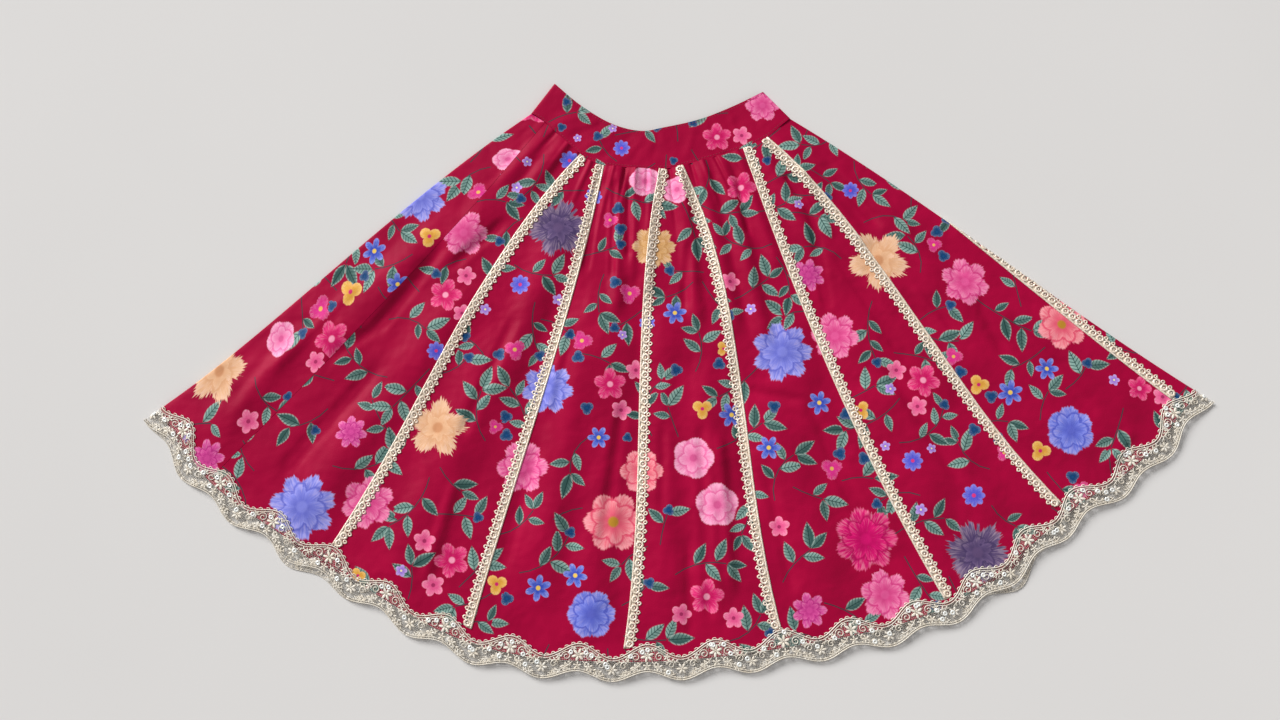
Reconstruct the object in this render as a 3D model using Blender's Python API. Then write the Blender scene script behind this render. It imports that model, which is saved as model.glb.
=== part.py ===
"""A child's flared lehenga skirt laid flat, front up, with its waistband at +Y.

The skirt is one tube pressed flat. A place on it is (v, q): v runs from 0 at the waist seam
to 1 at the hem, and q is the distance along the tube, from the left fold over the front to
the right fold and on over the back. Sizes are in millimetres until a mesh is made.
"""
import copy
import math

import bmesh
import bpy
import numpy as np

MM = 0.001

# Cloth, trims and lace
CLOTH = 1.2
SEAM_GAP = 0.3
LIE_GAP = 0.3
TRIM_THICK = 1.0
TRIM_WIDTH = 13.0
TRIM_INSET = 0.4
TRIM_COLUMN = 14.0
LEAST_HALF_COLUMN = 0.5
TRIM_END_GAP = 0.6
TRIM_END_STEPS = 8
TRIM_LAST_ROW = 5.0
PICOT_PITCH = 9.5
PICOT_DEPTH = 2.6
LACE_THICK = 1.0

# The side folds, and how high the front lies over the back
SKIRT_LENGTH = 540.0
BEND = 0.9
BEND_STEPS = (-90, -60, -30, 0, 30, 60, 90)
LIFT_SPARE = 0.1
UNDER_LIFT = TRIM_THICK + LIE_GAP + LIFT_SPARE
LIFT_EDGE = 3.0
LIFT_RAMP = 14.0
LOFT = 1.6
LOFT_RAMP = 45.0
FOLD_PROBE = 5.0

# The waistband, a folded strip on the gathered top
BAND_HEIGHT = 42.0
BAND_CLOTH = 1.9
BAND_BEND = 1.3
BAND_ROWS = (SEAM_GAP / BAND_HEIGHT, 0.35, 0.7, 1.0)
BAND_COLUMNS = 26
BAND_FOLD_SHARE = 0.45

# Middle of the laid skirt, which is moved so that the origin lies under it
CENTRE = (2.46, 7.49)

# Lines down the front, left to right, with a place at each station from waist to hem
STATIONS = (0.0, 0.2, 0.6, 1.0)
# Columns: name, waist, upper, lower, hem
FRONT_LINES = (
    ("left_fold", (-165, 302), (-247, 239), (-401, 102), (-556, -33)),
    ("left_side_seam", (-149, 291), (-216, 206), (-357, 44), (-504, -114)),
    ("trim_1", (-109, 254), (-174, 171), (-277, -13), (-379, -197)),
    ("trim_2", (-81, 240), (-104, 133), (-162, -77), (-221, -283)),
    ("trim_3", (-20, 236), (-35, 128), (-44, -91), (-61, -303)),
    ("trim_4", (8, 240), (44, 138), (77, -75), (113, -288)),
    ("trim_5", (75, 260), (109, 156), (188, -51), (283, -246)),
    ("trim_6", (104, 274), (174, 196), (292, 21), (419, -147)),
    ("guide", (117, 285), (201, 220), (347, 68), (497, -94)),
    ("right_fold", (130, 296), (219, 236), (392, 108), (567, -18)),
)
LINE_STEPS = 10

# Strips of the front between two lines, and the trims on each, picots inwards
# Columns: from, to, trims
FRONT_STRIPS = (
    ("left_side_seam", "trim_1", ()),
    ("trim_1", "trim_2", ("trim_1", "trim_2")),
    ("trim_2", "trim_3", ()),
    ("trim_3", "trim_4", ("trim_3", "trim_4")),
    ("trim_4", "trim_5", ()),
    ("trim_5", "trim_6", ("trim_5", "trim_6")),
)

# Trim 7 passes round the right fold: the distance of its line past the fold, plus is behind
ROUND_TRIM_WAIST = 15.0
ROUND_TRIM_HEM = -26.0
ROUND_TRIM_REACH = 34.0

# The right side seam, just behind the right fold
SIDE_SEAM_WAIST = 30.5
SIDE_SEAM_HEM = 96.0

# Strips behind, in order from trim 7
# Columns: width at the waist, width at the hem, trims
BACK_STRIPS = (
    (30.0, 178.0, ("trim_7", "trim_8")),
    (52.0, 172.0, ()),
    (30.0, 178.0, ("trim_9", "trim_10")),
    (52.0, 172.0, ()),
    (30.0, 178.0, ("trim_11", "trim_12")),
    (52.0, 172.0, ()),
    (30.0, 178.0, ("trim_13", "trim_14")),
)

# How far behind the left fold trim 14 lies
LAST_BEHIND_WAIST = 34.0
LAST_BEHIND_HEM = 88.0

# Soft folds of the front, each a ridge along a straight line
# Columns: start, end, half width, height
FRONT_FOLDS = (
    ((-146, 282), (-198, 215), 16, 1.6),
    ((-127, 268), (-172, 205), 15, 1.8),
    ((-66, 240), (-66, 74), 14, 2.4),
    ((-46, 237), (-50, 110), 13, 2.0),
    ((-29, 236), (-36, 90), 12, 1.8),
    ((3, 236), (22, 60), 14, 2.2),
    ((27, 243), (64, 51), 15, 2.4),
    ((50, 250), (96, 40), 16, 2.6),
    ((68, 255), (112, 120), 12, 1.8),
    ((94, 265), (150, 150), 14, 1.8),
    ((112, 276), (210, 150), 14, 2.0),
    ((125, 286), (262, 165), 15, 2.0),
    ((-264, 170), (-390, 20), 34, 2.2),
    ((-205, 200), (-262, 120), 30, 1.8),
    ((-130, 165), (-195, -20), 30, 2.4),
    ((-229, 96), (-405, -156), 40, 2.6),
    ((-195, 40), (-290, -200), 44, 2.8),
    ((-85, 85), (-150, -209), 38, 3.2),
    ((-62, 62), (-95, -250), 34, 2.6),
    ((-14, 60), (-12, -250), 32, 2.4),
    ((28, 10), (34, -240), 34, 3.0),
    ((95, -40), (160, -235), 42, 3.0),
    ((110, 60), (150, -60), 34, 2.2),
    ((185, 60), (285, -167), 40, 2.8),
    ((242, -10), (344, -156), 38, 2.4),
    ((232, 170), (330, 60), 34, 2.4),
    ((300, 51), (440, -90), 40, 2.6),
    ((380, 85), (505, -50), 34, 2.0),
    ((-430, 40), (-500, -70), 36, 2.0),
)

# Where the hem of the back lies past the hem of the front
# Columns: place, spread, reach
BACK_PEEPS = (
    ((-556, -50), 45.0, 9.0),
    ((-391, -205), 36.0, 8.0),
    ((351, -205), 32.0, 7.0),
)
PEEP_FAN = (0.0, 240.0)
PEEP_FROM = 0.7

# The waistband's top edge, left to right
BAND_TOP = (
    (-139, 338), (-109, 312), (-74, 290), (-41, 281), (-15, 285), (27, 295), (66, 311), (100, 328),
)

# Rows of every strip between waist and hem, and columns across one
ROWS = (0.0, 0.03, 0.075, 0.13, 0.2, 0.28, 0.37, 0.46, 0.56, 0.66, 0.76, 0.85, 0.92, 0.962, 1.0)
FRONT_COLUMNS = 6
SIDE_COLUMNS = 5
BEHIND_SIDE_COLUMNS = 2
BACK_COLUMNS = 4

# The hem lace, a waved band of whole repeats that lies half past the edge of the cloth
LACE_REPEATS = 36
LACE_PHASE = 0.5
LACE_ON_CLOTH = 11.0
LACE_ON_WAVE = 7.5
LACE_PAST_HEM = 16.0
LACE_PAST_WAVE = 5.0
LACE_DROOP = 1.8
LACE_FRONT_STEPS = 6
LACE_BACK_STEPS = 4
LACE_LEAST_STEP = 3.0

# Finishes: colour, roughness and metallic value
PRINTED_SILK = ((0.45, 0.004, 0.045, 1.0), 0.45, 0.0)
BEADED_TRIM = ((0.72, 0.66, 0.48, 1.0), 0.5, 0.1)
METALLIC_LACE = ((0.63, 0.56, 0.44, 1.0), 0.4, 0.35)
CREASE_ANGLE = 35.0

# Distance within which a cut takes a point as on its line
CUT_REACH = 1e-4


def ease(t):
    """Smooth step from 0 to 1."""
    t = min(max(t, 0.0), 1.0)
    return t * t * (3.0 - 2.0 * t)


def mix(a, b, t):
    """Value between a and b."""
    return a + (b - a) * t


def station_point(row, v):
    """Place at v on the smooth curve through a seam line's stations."""
    point = np.zeros(2)
    for i, here in enumerate(STATIONS):
        weight = 1.0
        for j, other in enumerate(STATIONS):
            if j != i:
                weight *= (v - other) / (here - other)
        point += weight * np.array(row[i + 1], dtype=float)
    return point


def smooth_line(knots):
    """Smooth line through knots, with LINE_STEPS points from each knot to the next."""
    knots = [np.array(k, dtype=float) for k in knots]
    ends = [2 * knots[0] - knots[1]] + knots + [2 * knots[-1] - knots[-2]]
    line = []
    for i in range(len(knots) - 1):
        before, start, end, after = ends[i:i + 4]
        for step in range(LINE_STEPS):
            t = step / LINE_STEPS
            bend = 2 * before - 5 * start + 4 * end - after
            twist = 3 * start - before - 3 * end + after
            line.append(0.5 * (2 * start + (end - before) * t + bend * t ** 2 + twist * t ** 3))
    line.append(knots[-1])
    return np.array(line)


def reach_along(line):
    """Distance of each point of a line from its start."""
    return np.concatenate([[0.0], np.cumsum(np.hypot(*np.diff(line, axis=0).T))])


class FlatRow:
    """One row across the flat tube, measured from its left fold to its right fold."""

    def __init__(self, line):
        self.line = line
        self.reach = reach_along(line)
        self.length = float(self.reach[-1])

    def at(self, distance):
        """Place at a distance from the left fold."""
        x = np.interp(distance, self.reach, self.line[:, 0])
        y = np.interp(distance, self.reach, self.line[:, 1])
        return np.array([x, y])


class Tube:
    """A tube of cloth pressed flat, with round side folds."""

    def __init__(self, cloth, bend, make_row, raise_front, lift_back, shift=None):
        self.cloth = cloth
        self.bend = bend
        self.quarter = math.pi * bend / 2.0
        self.make_row = make_row
        self.raise_front = raise_front
        self.lift_back = lift_back
        self.shift = shift
        self.rows = {}

    def row(self, v):
        """The flat row at v."""
        if v not in self.rows:
            self.rows[v] = self.make_row(v)
        return self.rows[v]

    def spot(self, v, q):
        """Middle of the cloth at (v, q), and the direction out of the tube there."""
        row = self.row(v)
        q = q % (2.0 * row.length)
        front = q <= row.length
        along = q if front else 2.0 * row.length - q
        left = along < row.length / 2.0
        near = along if left else row.length - along
        turn = min(near / self.bend, math.pi / 2.0)
        inset = self.cloth / 2.0 + self.bend * (1.0 - math.cos(turn)) + max(near - self.quarter, 0.0)
        flat = row.at(inset if left else row.length - inset)
        edge = 0.0 if left else row.length
        outward = row.at(edge) - row.at(abs(edge - FOLD_PROBE))
        outward = outward / np.hypot(*outward)
        side = 1.0 if front else -1.0
        height = self.cloth / 2.0 + self.bend * (1.0 + side * math.sin(turn))
        if front:
            height += UNDER_LIFT + self.raise_front(flat) * ease((near - self.quarter) / LOFT_RAMP)
        else:
            height += self.lift_back(v, q, near)
        if self.shift:
            flat = flat + self.shift(v, flat, near, front)
        middle = np.array([flat[0], flat[1], height])
        normal = np.array([outward[0] * math.cos(turn), outward[1] * math.cos(turn), side * math.sin(turn)])
        return middle, normal


def skirt_row(v):
    """Row across the skirt at v."""
    return FlatRow(smooth_line([station_point(row, v) for row in FRONT_LINES]))


def front_line(name, v):
    """Distance from the left fold to a line of the front at v."""
    index = [row[0] for row in FRONT_LINES].index(name)
    return float(SKIRT.row(v).reach[index * LINE_STEPS])


def side_seam(v):
    """Distance to the right side seam."""
    return SKIRT.row(v).length + mix(SIDE_SEAM_WAIST, SIDE_SEAM_HEM, v)


def back_lines(v):
    """Distances to the lines of trims 7 to 14."""
    length = SKIRT.row(v).length
    start = length + mix(ROUND_TRIM_WAIST, ROUND_TRIM_HEM, v)
    end = 2.0 * length - mix(LAST_BEHIND_WAIST, LAST_BEHIND_HEM, v)
    widths = [mix(waist, hem, v) for waist, hem, _ in BACK_STRIPS]
    lines = [start]
    for width in widths:
        lines.append(lines[-1] + width * (end - start) / sum(widths))
    return lines


def fold_height(flat):
    """Height of the loft and the soft folds at a flat place of the front."""
    height = LOFT
    for start, end, half_width, rise in FRONT_FOLDS:
        offset = flat - np.array(start, dtype=float)
        run = np.array(end, dtype=float) - np.array(start, dtype=float)
        length = float(np.hypot(*run))
        along = float(np.dot(offset, run)) / length
        across = abs(float(run[0] * offset[1] - run[1] * offset[0])) / length
        if across < half_width:
            taper = ease((along + half_width) / (2.0 * half_width))
            taper *= ease((length + half_width - along) / (2.0 * half_width))
            height += rise * taper * 0.5 * (1.0 + math.cos(math.pi * across / half_width))
    return height


def back_lift(v, q, near):
    """Height of the back over the floor, which it leaves at its folds, trims and lace."""
    above_hem = (1.0 - v) * SKIRT_LENGTH
    away = [near - LIFT_EDGE, above_hem - LACE_ON_CLOTH - LACE_ON_WAVE]
    lines = back_lines(v)
    for number, (_, _, trims) in enumerate(BACK_STRIPS):
        if trims:
            first_reach = TRIM_COLUMN if number else ROUND_TRIM_REACH
            away.append(max(lines[number] - q, q - lines[number] - first_reach) - LIFT_EDGE)
            away.append(max(q - lines[number + 1], lines[number + 1] - q - TRIM_COLUMN) - LIFT_EDGE)
    return UNDER_LIFT * (1.0 - ease(min(away) / LIFT_RAMP))


def back_shift(v, flat, near, front):
    """Flat shift of the back's hem past the front's, shared by the side fold next to it."""
    share = 1.0 - ease(near / LOFT_RAMP) if front else 1.0
    share *= ease((v - PEEP_FROM) / (1.0 - PEEP_FROM))
    shift = np.zeros(2)
    for place, spread, reach in BACK_PEEPS:
        away = float(np.hypot(*(flat - np.array(place, dtype=float))))
        down = np.array(place, dtype=float) - np.array(PEEP_FAN)
        shift += down / np.hypot(*down) * reach * share * math.exp(-(away / spread) ** 2)
    return shift


def band_row(w):
    """Row across the waistband, from its seam at 0 to its top edge at 1."""
    seam = FlatRow(smooth_line([station_point(row, 0.0) for row in FRONT_LINES]))
    top = FlatRow(smooth_line(BAND_TOP))
    parts = np.linspace(0.0, 1.0, BAND_COLUMNS * 2 + 1)
    line = [mix(seam.at(part * seam.length), top.at(part * top.length), w) for part in parts]
    return FlatRow(np.array(line))


def band_height(flat):
    """Height of the waistband's front over its back."""
    return BAND_FOLD_SHARE * fold_height(flat)


SKIRT = Tube(CLOTH, BEND, skirt_row, fold_height, back_lift, back_shift)
BAND = Tube(BAND_CLOTH, BAND_BEND, band_row, band_height, lambda w, q, near: 0.0)


class Grid:
    """A strip of cloth between two lines, as rows and columns of spots on a tube."""

    def __init__(self, tube, rows, columns_at):
        self.rows = rows
        self.q = [columns_at(v) for v in rows]
        spots = [[tube.spot(v, q) for q in line] for v, line in zip(rows, self.q)]
        self.middle = np.array([[spot[0] for spot in line] for line in spots])
        self.normal = np.array([[spot[1] for spot in line] for line in spots])
        self.columns = len(self.q[0]) - 1

    def row_part(self, v):
        """Row above v, and the share of the way to the next row."""
        k = min(max(int(np.searchsorted(self.rows, v, side="right")) - 1, 0), len(self.rows) - 2)
        return k, (v - self.rows[k]) / (self.rows[k + 1] - self.rows[k])

    def blend(self, table, k, s, j, t):
        """Value between four neighbours of a table."""
        upper = mix(table[k][j], table[k][j + 1], t)
        lower = mix(table[k + 1][j], table[k + 1][j + 1], t)
        return mix(upper, lower, s)

    def on(self, v, column, out):
        """Point at a height over the middle of the cloth, at v and a column number."""
        k, s = self.row_part(v)
        j = min(int(column), self.columns - 1)
        t = column - j
        middle = self.blend(self.middle, k, s, j, t)
        return middle + self.blend(self.normal, k, s, j, t) * out

    def q_at(self, v):
        """Distances of the columns at v."""
        k, s = self.row_part(v)
        return mix(np.array(self.q[k]), np.array(self.q[k + 1]), s)

    def at(self, v, q, out):
        """Point at a height over the middle of the cloth, at (v, q)."""
        line = self.q_at(v)
        j = min(max(int(np.searchsorted(line, q, side="right")) - 1, 0), self.columns - 1)
        return self.on(v, j + (q - line[j]) / (line[j + 1] - line[j]), out)


def even(start, end, count):
    """Count + 1 even values from start to end."""
    return [mix(start, end, i / count) for i in range(count + 1)]


def strip_columns(start, end, count, trimmed):
    """Columns across a strip, with one along the picots of each trim."""
    if not trimmed:
        return even(start, end, count)
    trim = min(TRIM_COLUMN, (end - start) / 2.0 - LEAST_HALF_COLUMN)
    return [start] + even(start + trim, end - trim, count - 2) + [end]


def fold_columns(at):
    """Columns round a side fold that lies at a distance."""
    return [at + math.radians(angle) * BEND for angle in BEND_STEPS]


def right_columns(v):
    """Columns from trim 6 round the right fold to the right side seam."""
    fold = fold_columns(SKIRT.row(v).length)
    before = even(front_line("trim_6", v), fold[0], SIDE_COLUMNS)[:-1]
    return before + fold + even(fold[-1], side_seam(v) - SEAM_GAP / 2.0, BEHIND_SIDE_COLUMNS)[1:]


def behind_right_columns(v):
    """Columns from the right side seam to trim 8."""
    end = back_lines(v)[1]
    return even(side_seam(v) + SEAM_GAP / 2.0, end - TRIM_COLUMN, BEHIND_SIDE_COLUMNS) + [end]


def left_columns(v):
    """Columns from trim 14 round the left fold to the left side seam."""
    fold = fold_columns(2.0 * SKIRT.row(v).length)
    start = back_lines(v)[-1]
    end = 2.0 * SKIRT.row(v).length + front_line("left_side_seam", v) - SEAM_GAP / 2.0
    return even(start, fold[0], BACK_COLUMNS - 1)[:-1] + fold + even(fold[-1], end, SIDE_COLUMNS)[1:]


def thicken(name, outside, inside, faces, finish):
    """Closed solid between two like sheets of points, with walls along their open edges."""
    count = len(outside)
    walls = {}
    for face in faces:
        for a, b in zip(face, face[1:] + face[:1]):
            walls[(a, b)] = True
    sides = [(b, a, a + count, b + count) for a, b in walls if (b, a) not in walls]
    inner = [tuple(i + count for i in reversed(face)) for face in faces]
    points = np.vstack([np.array(outside), np.array(inside)])
    points = (points - np.array((CENTRE[0], CENTRE[1], 0.0))) * MM
    mesh = bpy.data.meshes.new(name)
    mesh.from_pydata([tuple(p) for p in points], [], list(faces) + inner + sides)
    mesh.validate()
    mesh.shade_smooth()
    mesh.set_sharp_from_angle(angle=math.radians(CREASE_ANGLE))
    piece = bpy.data.objects.new(name, mesh)
    bpy.context.scene.collection.objects.link(piece)
    mesh.materials.append(material(name, finish))
    return piece


def material(name, finish):
    """Material of one piece."""
    colour, roughness, metallic = finish
    paint = bpy.data.materials.new(name + "_material")
    paint.use_nodes = True
    shader = paint.node_tree.nodes["Principled BSDF"]
    shader.inputs["Base Color"].default_value = colour
    shader.inputs["Roughness"].default_value = roughness
    shader.inputs["Metallic"].default_value = metallic
    return paint


def grid_faces(middle, width, columns, upward):
    """Triangles over a grid, each cell split along its lower diagonal."""
    faces = []
    for k in range(len(middle) - 1):
        for j in range(columns):
            after = (j + 1) % width
            corners = [k * width + j, (k + 1) * width + j, (k + 1) * width + after, k * width + after]
            falling = middle[k][j][2] + middle[k + 1][after][2]
            rising = middle[k + 1][j][2] + middle[k][after][2]
            if falling > rising:
                corners = corners[1:] + corners[:1]
            cell = [(corners[0], corners[1], corners[2]), (corners[0], corners[2], corners[3])]
            faces += [tuple(reversed(face)) for face in cell] if upward else cell
    return faces


def join_strips(strips):
    """One grid from strips that share their edges, left to right."""
    panel = copy.copy(strips[0])
    panel.middle = np.hstack([strip.middle[:, :-1] for strip in strips] + [strips[-1].middle[:, -1:]])
    panel.normal = np.hstack([strip.normal[:, :-1] for strip in strips] + [strips[-1].normal[:, -1:]])
    panel.columns = panel.middle.shape[1] - 1
    return panel


def cloth_piece(name, grid, thickness, ring=False, upward=False):
    """Wall of cloth over a grid. A ring closes on itself, and rows may go down or upward."""
    width = grid.columns if ring else grid.columns + 1
    places = [(k, j) for k in range(len(grid.rows)) for j in range(width)]
    outside = [grid.middle[k][j] + grid.normal[k][j] * thickness / 2.0 for k, j in places]
    inside = [grid.middle[k][j] - grid.normal[k][j] * thickness / 2.0 for k, j in places]
    faces = grid_faces(grid.middle, width, grid.columns, upward)
    return thicken(name, outside, inside, faces, PRINTED_SILK)


def cut_grid(grid, keep_from, keep_to, v_end):
    """Part of the right side's grid between two straight lines, as places and faces.

    A line is its distance past the right fold at the waist and at the hem. The grid is laid
    out as a flat pattern, and cut there and at v_end.
    """
    pattern = bmesh.new()
    table = []
    for v, line in zip(grid.rows, grid.q):
        fold = SKIRT.row(v).length
        table.append([pattern.verts.new((q - fold, -v * SKIRT_LENGTH, 0.0)) for q in line])
    for k in range(len(grid.rows) - 1):
        for j in range(grid.columns):
            pattern.faces.new((table[k][j], table[k + 1][j], table[k + 1][j + 1], table[k][j + 1]))
    for line, side in ((keep_from, -1.0), (keep_to, 1.0)):
        across = (SKIRT_LENGTH * side, (line[1] - line[0]) * side, 0.0)
        cut_pattern(pattern, (line[0], 0.0, 0.0), across)
    cut_pattern(pattern, (0.0, -v_end * SKIRT_LENGTH, 0.0), (0.0, -1.0, 0.0))
    pattern.verts.index_update()
    places = []
    for vert in pattern.verts:
        v = min(max(-vert.co.y / SKIRT_LENGTH, 0.0), 1.0)
        k, s = grid.row_part(v)
        fold = mix(SKIRT.row(grid.rows[k]).length, SKIRT.row(grid.rows[k + 1]).length, s)
        places.append((v, vert.co.x + fold))
    faces = [tuple(vert.index for vert in face.verts) for face in pattern.faces]
    pattern.free()
    return places, faces


def cut_pattern(pattern, place, away):
    """Cut a flat pattern along a line and drop what lies on the side that away points to."""
    geometry = pattern.verts[:] + pattern.edges[:] + pattern.faces[:]
    bmesh.ops.bisect_plane(
        pattern, geom=geometry, plane_co=place, plane_no=away, dist=CUT_REACH, clear_outer=True)


def trim_levels():
    """Heights of a trim's underside and top over the middle of the cloth."""
    low = CLOTH / 2.0 + LIE_GAP
    return low, low + TRIM_THICK


def lace_on(wave):
    """How far the lace reaches onto the cloth, at a share of its repeat."""
    return LACE_ON_CLOTH + LACE_ON_WAVE * math.cos(2.0 * math.pi * wave)


def lace_past(wave):
    """How far the lace reaches past the edge of the cloth."""
    return LACE_PAST_HEM - LACE_PAST_WAVE * math.cos(2.0 * math.pi * wave)


def lace_wave(q):
    """Share of the lace's repeat at a distance along the hem."""
    return LACE_REPEATS * q / (2.0 * SKIRT.row(1.0).length) + LACE_PHASE


def trim_end(edge_q, inward):
    """Place v where a trim from an edge of its strip meets the lace."""
    across = even(edge_q, edge_q + inward * (TRIM_WIDTH + TRIM_INSET), TRIM_END_STEPS)
    return 1.0 - (max(lace_on(lace_wave(q)) for q in across) + TRIM_END_GAP) / SKIRT_LENGTH


def straight_trim(name, grid, first, picots):
    """Trim along a strip's first or last line, its picots towards the middle of the strip."""
    edge = 0 if first else grid.columns
    inward = 1.0 if first else -1.0
    end = trim_end(grid.q_at(1.0)[edge], inward)
    rows = [v for v in grid.rows if v < end - TRIM_LAST_ROW / SKIRT_LENGTH] + [end]
    count = int(round(end * SKIRT_LENGTH / PICOT_PITCH)) * 2 if picots else len(rows) - 1
    picot_v = even(0.0, end, count) if picots else rows
    if picots:
        rows = sorted(rows + [mix(a, b, 0.5) for a, b in zip(rows, rows[1:])])
    places = [(v, grid.q_at(v)[edge] + inward * TRIM_INSET) for v in rows]
    for number, v in enumerate(picot_v):
        depth = PICOT_DEPTH if picots and number % 2 == 0 else 0.0
        places.append((v, grid.q_at(v)[edge] + inward * (TRIM_INSET + TRIM_WIDTH - depth)))
    faces = []
    near = [min(range(len(rows)), key=lambda r: abs(rows[r] - v)) for v in picot_v]
    for m in range(len(picot_v) - 1):
        here = len(rows) + m
        faces.append((near[m], here, here + 1))
        if near[m + 1] > near[m]:
            faces.append((near[m], here + 1, near[m + 1]))
    if first:
        faces = [tuple(reversed(face)) for face in faces]
    low, high = trim_levels()
    outside = [grid.at(v, q, high) for v, q in places]
    inside = [grid.at(v, q, low) for v, q in places]
    return thicken(name, outside, inside, faces, BEADED_TRIM)


def round_trim(name, grid):
    """Trim along a line that passes round the right fold."""
    inner = (ROUND_TRIM_WAIST + TRIM_INSET, ROUND_TRIM_HEM + TRIM_INSET)
    outer = (inner[0] + TRIM_WIDTH, inner[1] + TRIM_WIDTH)
    end = trim_end(SKIRT.row(1.0).length + inner[1], 1.0)
    places, faces = cut_grid(grid, inner, outer, end)
    low, high = trim_levels()
    outside = [grid.at(v, q, high) for v, q in places]
    inside = [grid.at(v, q, low) for v, q in places]
    return thicken(name, outside, inside, faces, BEADED_TRIM)


def lace_stations(grids):
    """Places along the hem: the grid, its column number and the distance along the hem."""
    length = SKIRT.row(1.0).length
    corners = []
    for grid in grids:
        line = grid.q_at(1.0)
        corners += [(grid, float(j), q) for j, q in enumerate(line[:-1])]
    stations = []
    ends = [corner[2] for corner in corners[1:]] + [corners[0][2] + 2.0 * length]
    for (grid, column, q), after in zip(corners, ends):
        stations.append((grid, column, q))
        steps = LACE_FRONT_STEPS if q % (2 * length) < length else LACE_BACK_STEPS
        pieces = int((after - q) / (2 * length / LACE_REPEATS / steps) + 0.5)
        line = grid.q_at(1.0)
        j = int(column)
        for step in range(1, pieces):
            between = mix(q, after, step / pieces)
            if min(between - q, line[j + 1] - between) > LACE_LEAST_STEP:
                stations.append((grid, j + (between - line[j]) / (line[j + 1] - line[j]), between))
    return stations


def hem_lace(grids):
    """The lace ring round the whole hem, made from the strips' own hem rows."""
    low = CLOTH / 2.0 + LIE_GAP
    high = low + LACE_THICK
    layers = {low: [], high: []}
    stations = lace_stations(grids)
    for grid, column, q in stations:
        wave = lace_wave(q)
        above = 1.0 - lace_on(wave) / SKIRT_LENGTH
        hem = grid.on(1.0, column, 0.0)
        down = hem - grid.on(above, column, 0.0)
        down[2] = 0.0
        down = down / np.linalg.norm(down) * lace_past(wave)
        facing_up = max(float(grid.on(1.0, column, 1.0)[2] - hem[2]), 0.0)
        down[2] = -LACE_DROOP * facing_up
        for level, points in layers.items():
            edge = grid.on(1.0, column, level)
            points += [grid.on(above, column, level), edge, edge + down]
    faces = []
    count = len(stations)
    for i in range(count):
        here, after = i * 3, ((i + 1) % count) * 3
        for step in range(2):
            faces.append((here + step, here + step + 1, after + step + 1, after + step))
    return thicken("hem_lace", layers[high], layers[low], faces, METALLIC_LACE)


def waistband():
    """The waistband, a ring of folded cloth round the gathered top."""

    def columns_at(w):
        length = BAND.row(w).length
        quarter = BAND.quarter
        turn = [math.radians(angle) * BAND_BEND for angle in BEND_STEPS]
        front = even(quarter, length - quarter, BAND_COLUMNS)[1:-1]
        behind = even(length + quarter, 2.0 * length - quarter, BAND_COLUMNS)[1:-1]
        return turn + front + [length + step for step in turn] + behind + [2.0 * length + turn[0]]

    cloth_piece("waistband", Grid(BAND, BAND_ROWS, columns_at), BAND_CLOTH, ring=True, upward=True)


def front_strip(start, end, trims):
    """Grid of a strip of the front."""
    gap = SEAM_GAP / 2.0 if start == "left_side_seam" else 0.0
    return Grid(SKIRT, ROWS, lambda v: strip_columns(
        front_line(start, v) + gap, front_line(end, v), FRONT_COLUMNS, bool(trims)))


def back_strip(number):
    """Grid of a strip of the back."""
    trimmed = bool(BACK_STRIPS[number][2])
    return Grid(SKIRT, ROWS, lambda v: strip_columns(
        back_lines(v)[number], back_lines(v)[number + 1], BACK_COLUMNS, trimmed))


def build():
    """Make every piece of the skirt."""
    front = [front_strip(*row) for row in FRONT_STRIPS]
    right = Grid(SKIRT, ROWS, right_columns)
    behind_right = Grid(SKIRT, ROWS, behind_right_columns)
    back = [back_strip(number) for number in range(1, len(BACK_STRIPS))]
    left = Grid(SKIRT, ROWS, left_columns)
    cloth_piece("panel_front", join_strips(front + [right]), CLOTH)
    cloth_piece("panel_back", join_strips([behind_right] + back + [left]), CLOTH)

    for (_, _, trims), grid in zip(FRONT_STRIPS, front):
        for name, first in zip(trims, (True, False)):
            straight_trim(name, grid, first, True)
    round_trim("trim_7", right)
    straight_trim("trim_8", behind_right, False, False)
    for (_, _, trims), grid in zip(BACK_STRIPS[1:], back):
        for name, first in zip(trims, (True, False)):
            straight_trim(name, grid, first, False)

    hem_lace(front + [right, behind_right] + back + [left])
    waistband()


def clear_scene():
    """Remove what a new file holds."""
    for thing in list(bpy.data.objects):
        bpy.data.objects.remove(thing, do_unlink=True)


clear_scene()
build()
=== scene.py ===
"""Looks of a child's printed silk lehenga skirt, laid flat with its front up.

Sizes are in millimetres until a mesh is made. A place on the skirt is (v, q): v runs from 0 at
the waist seam to 1 at the hem, and q is the distance along the tube, from the left fold over
the front to the right fold and on over the back.
"""
import math
import random

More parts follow.
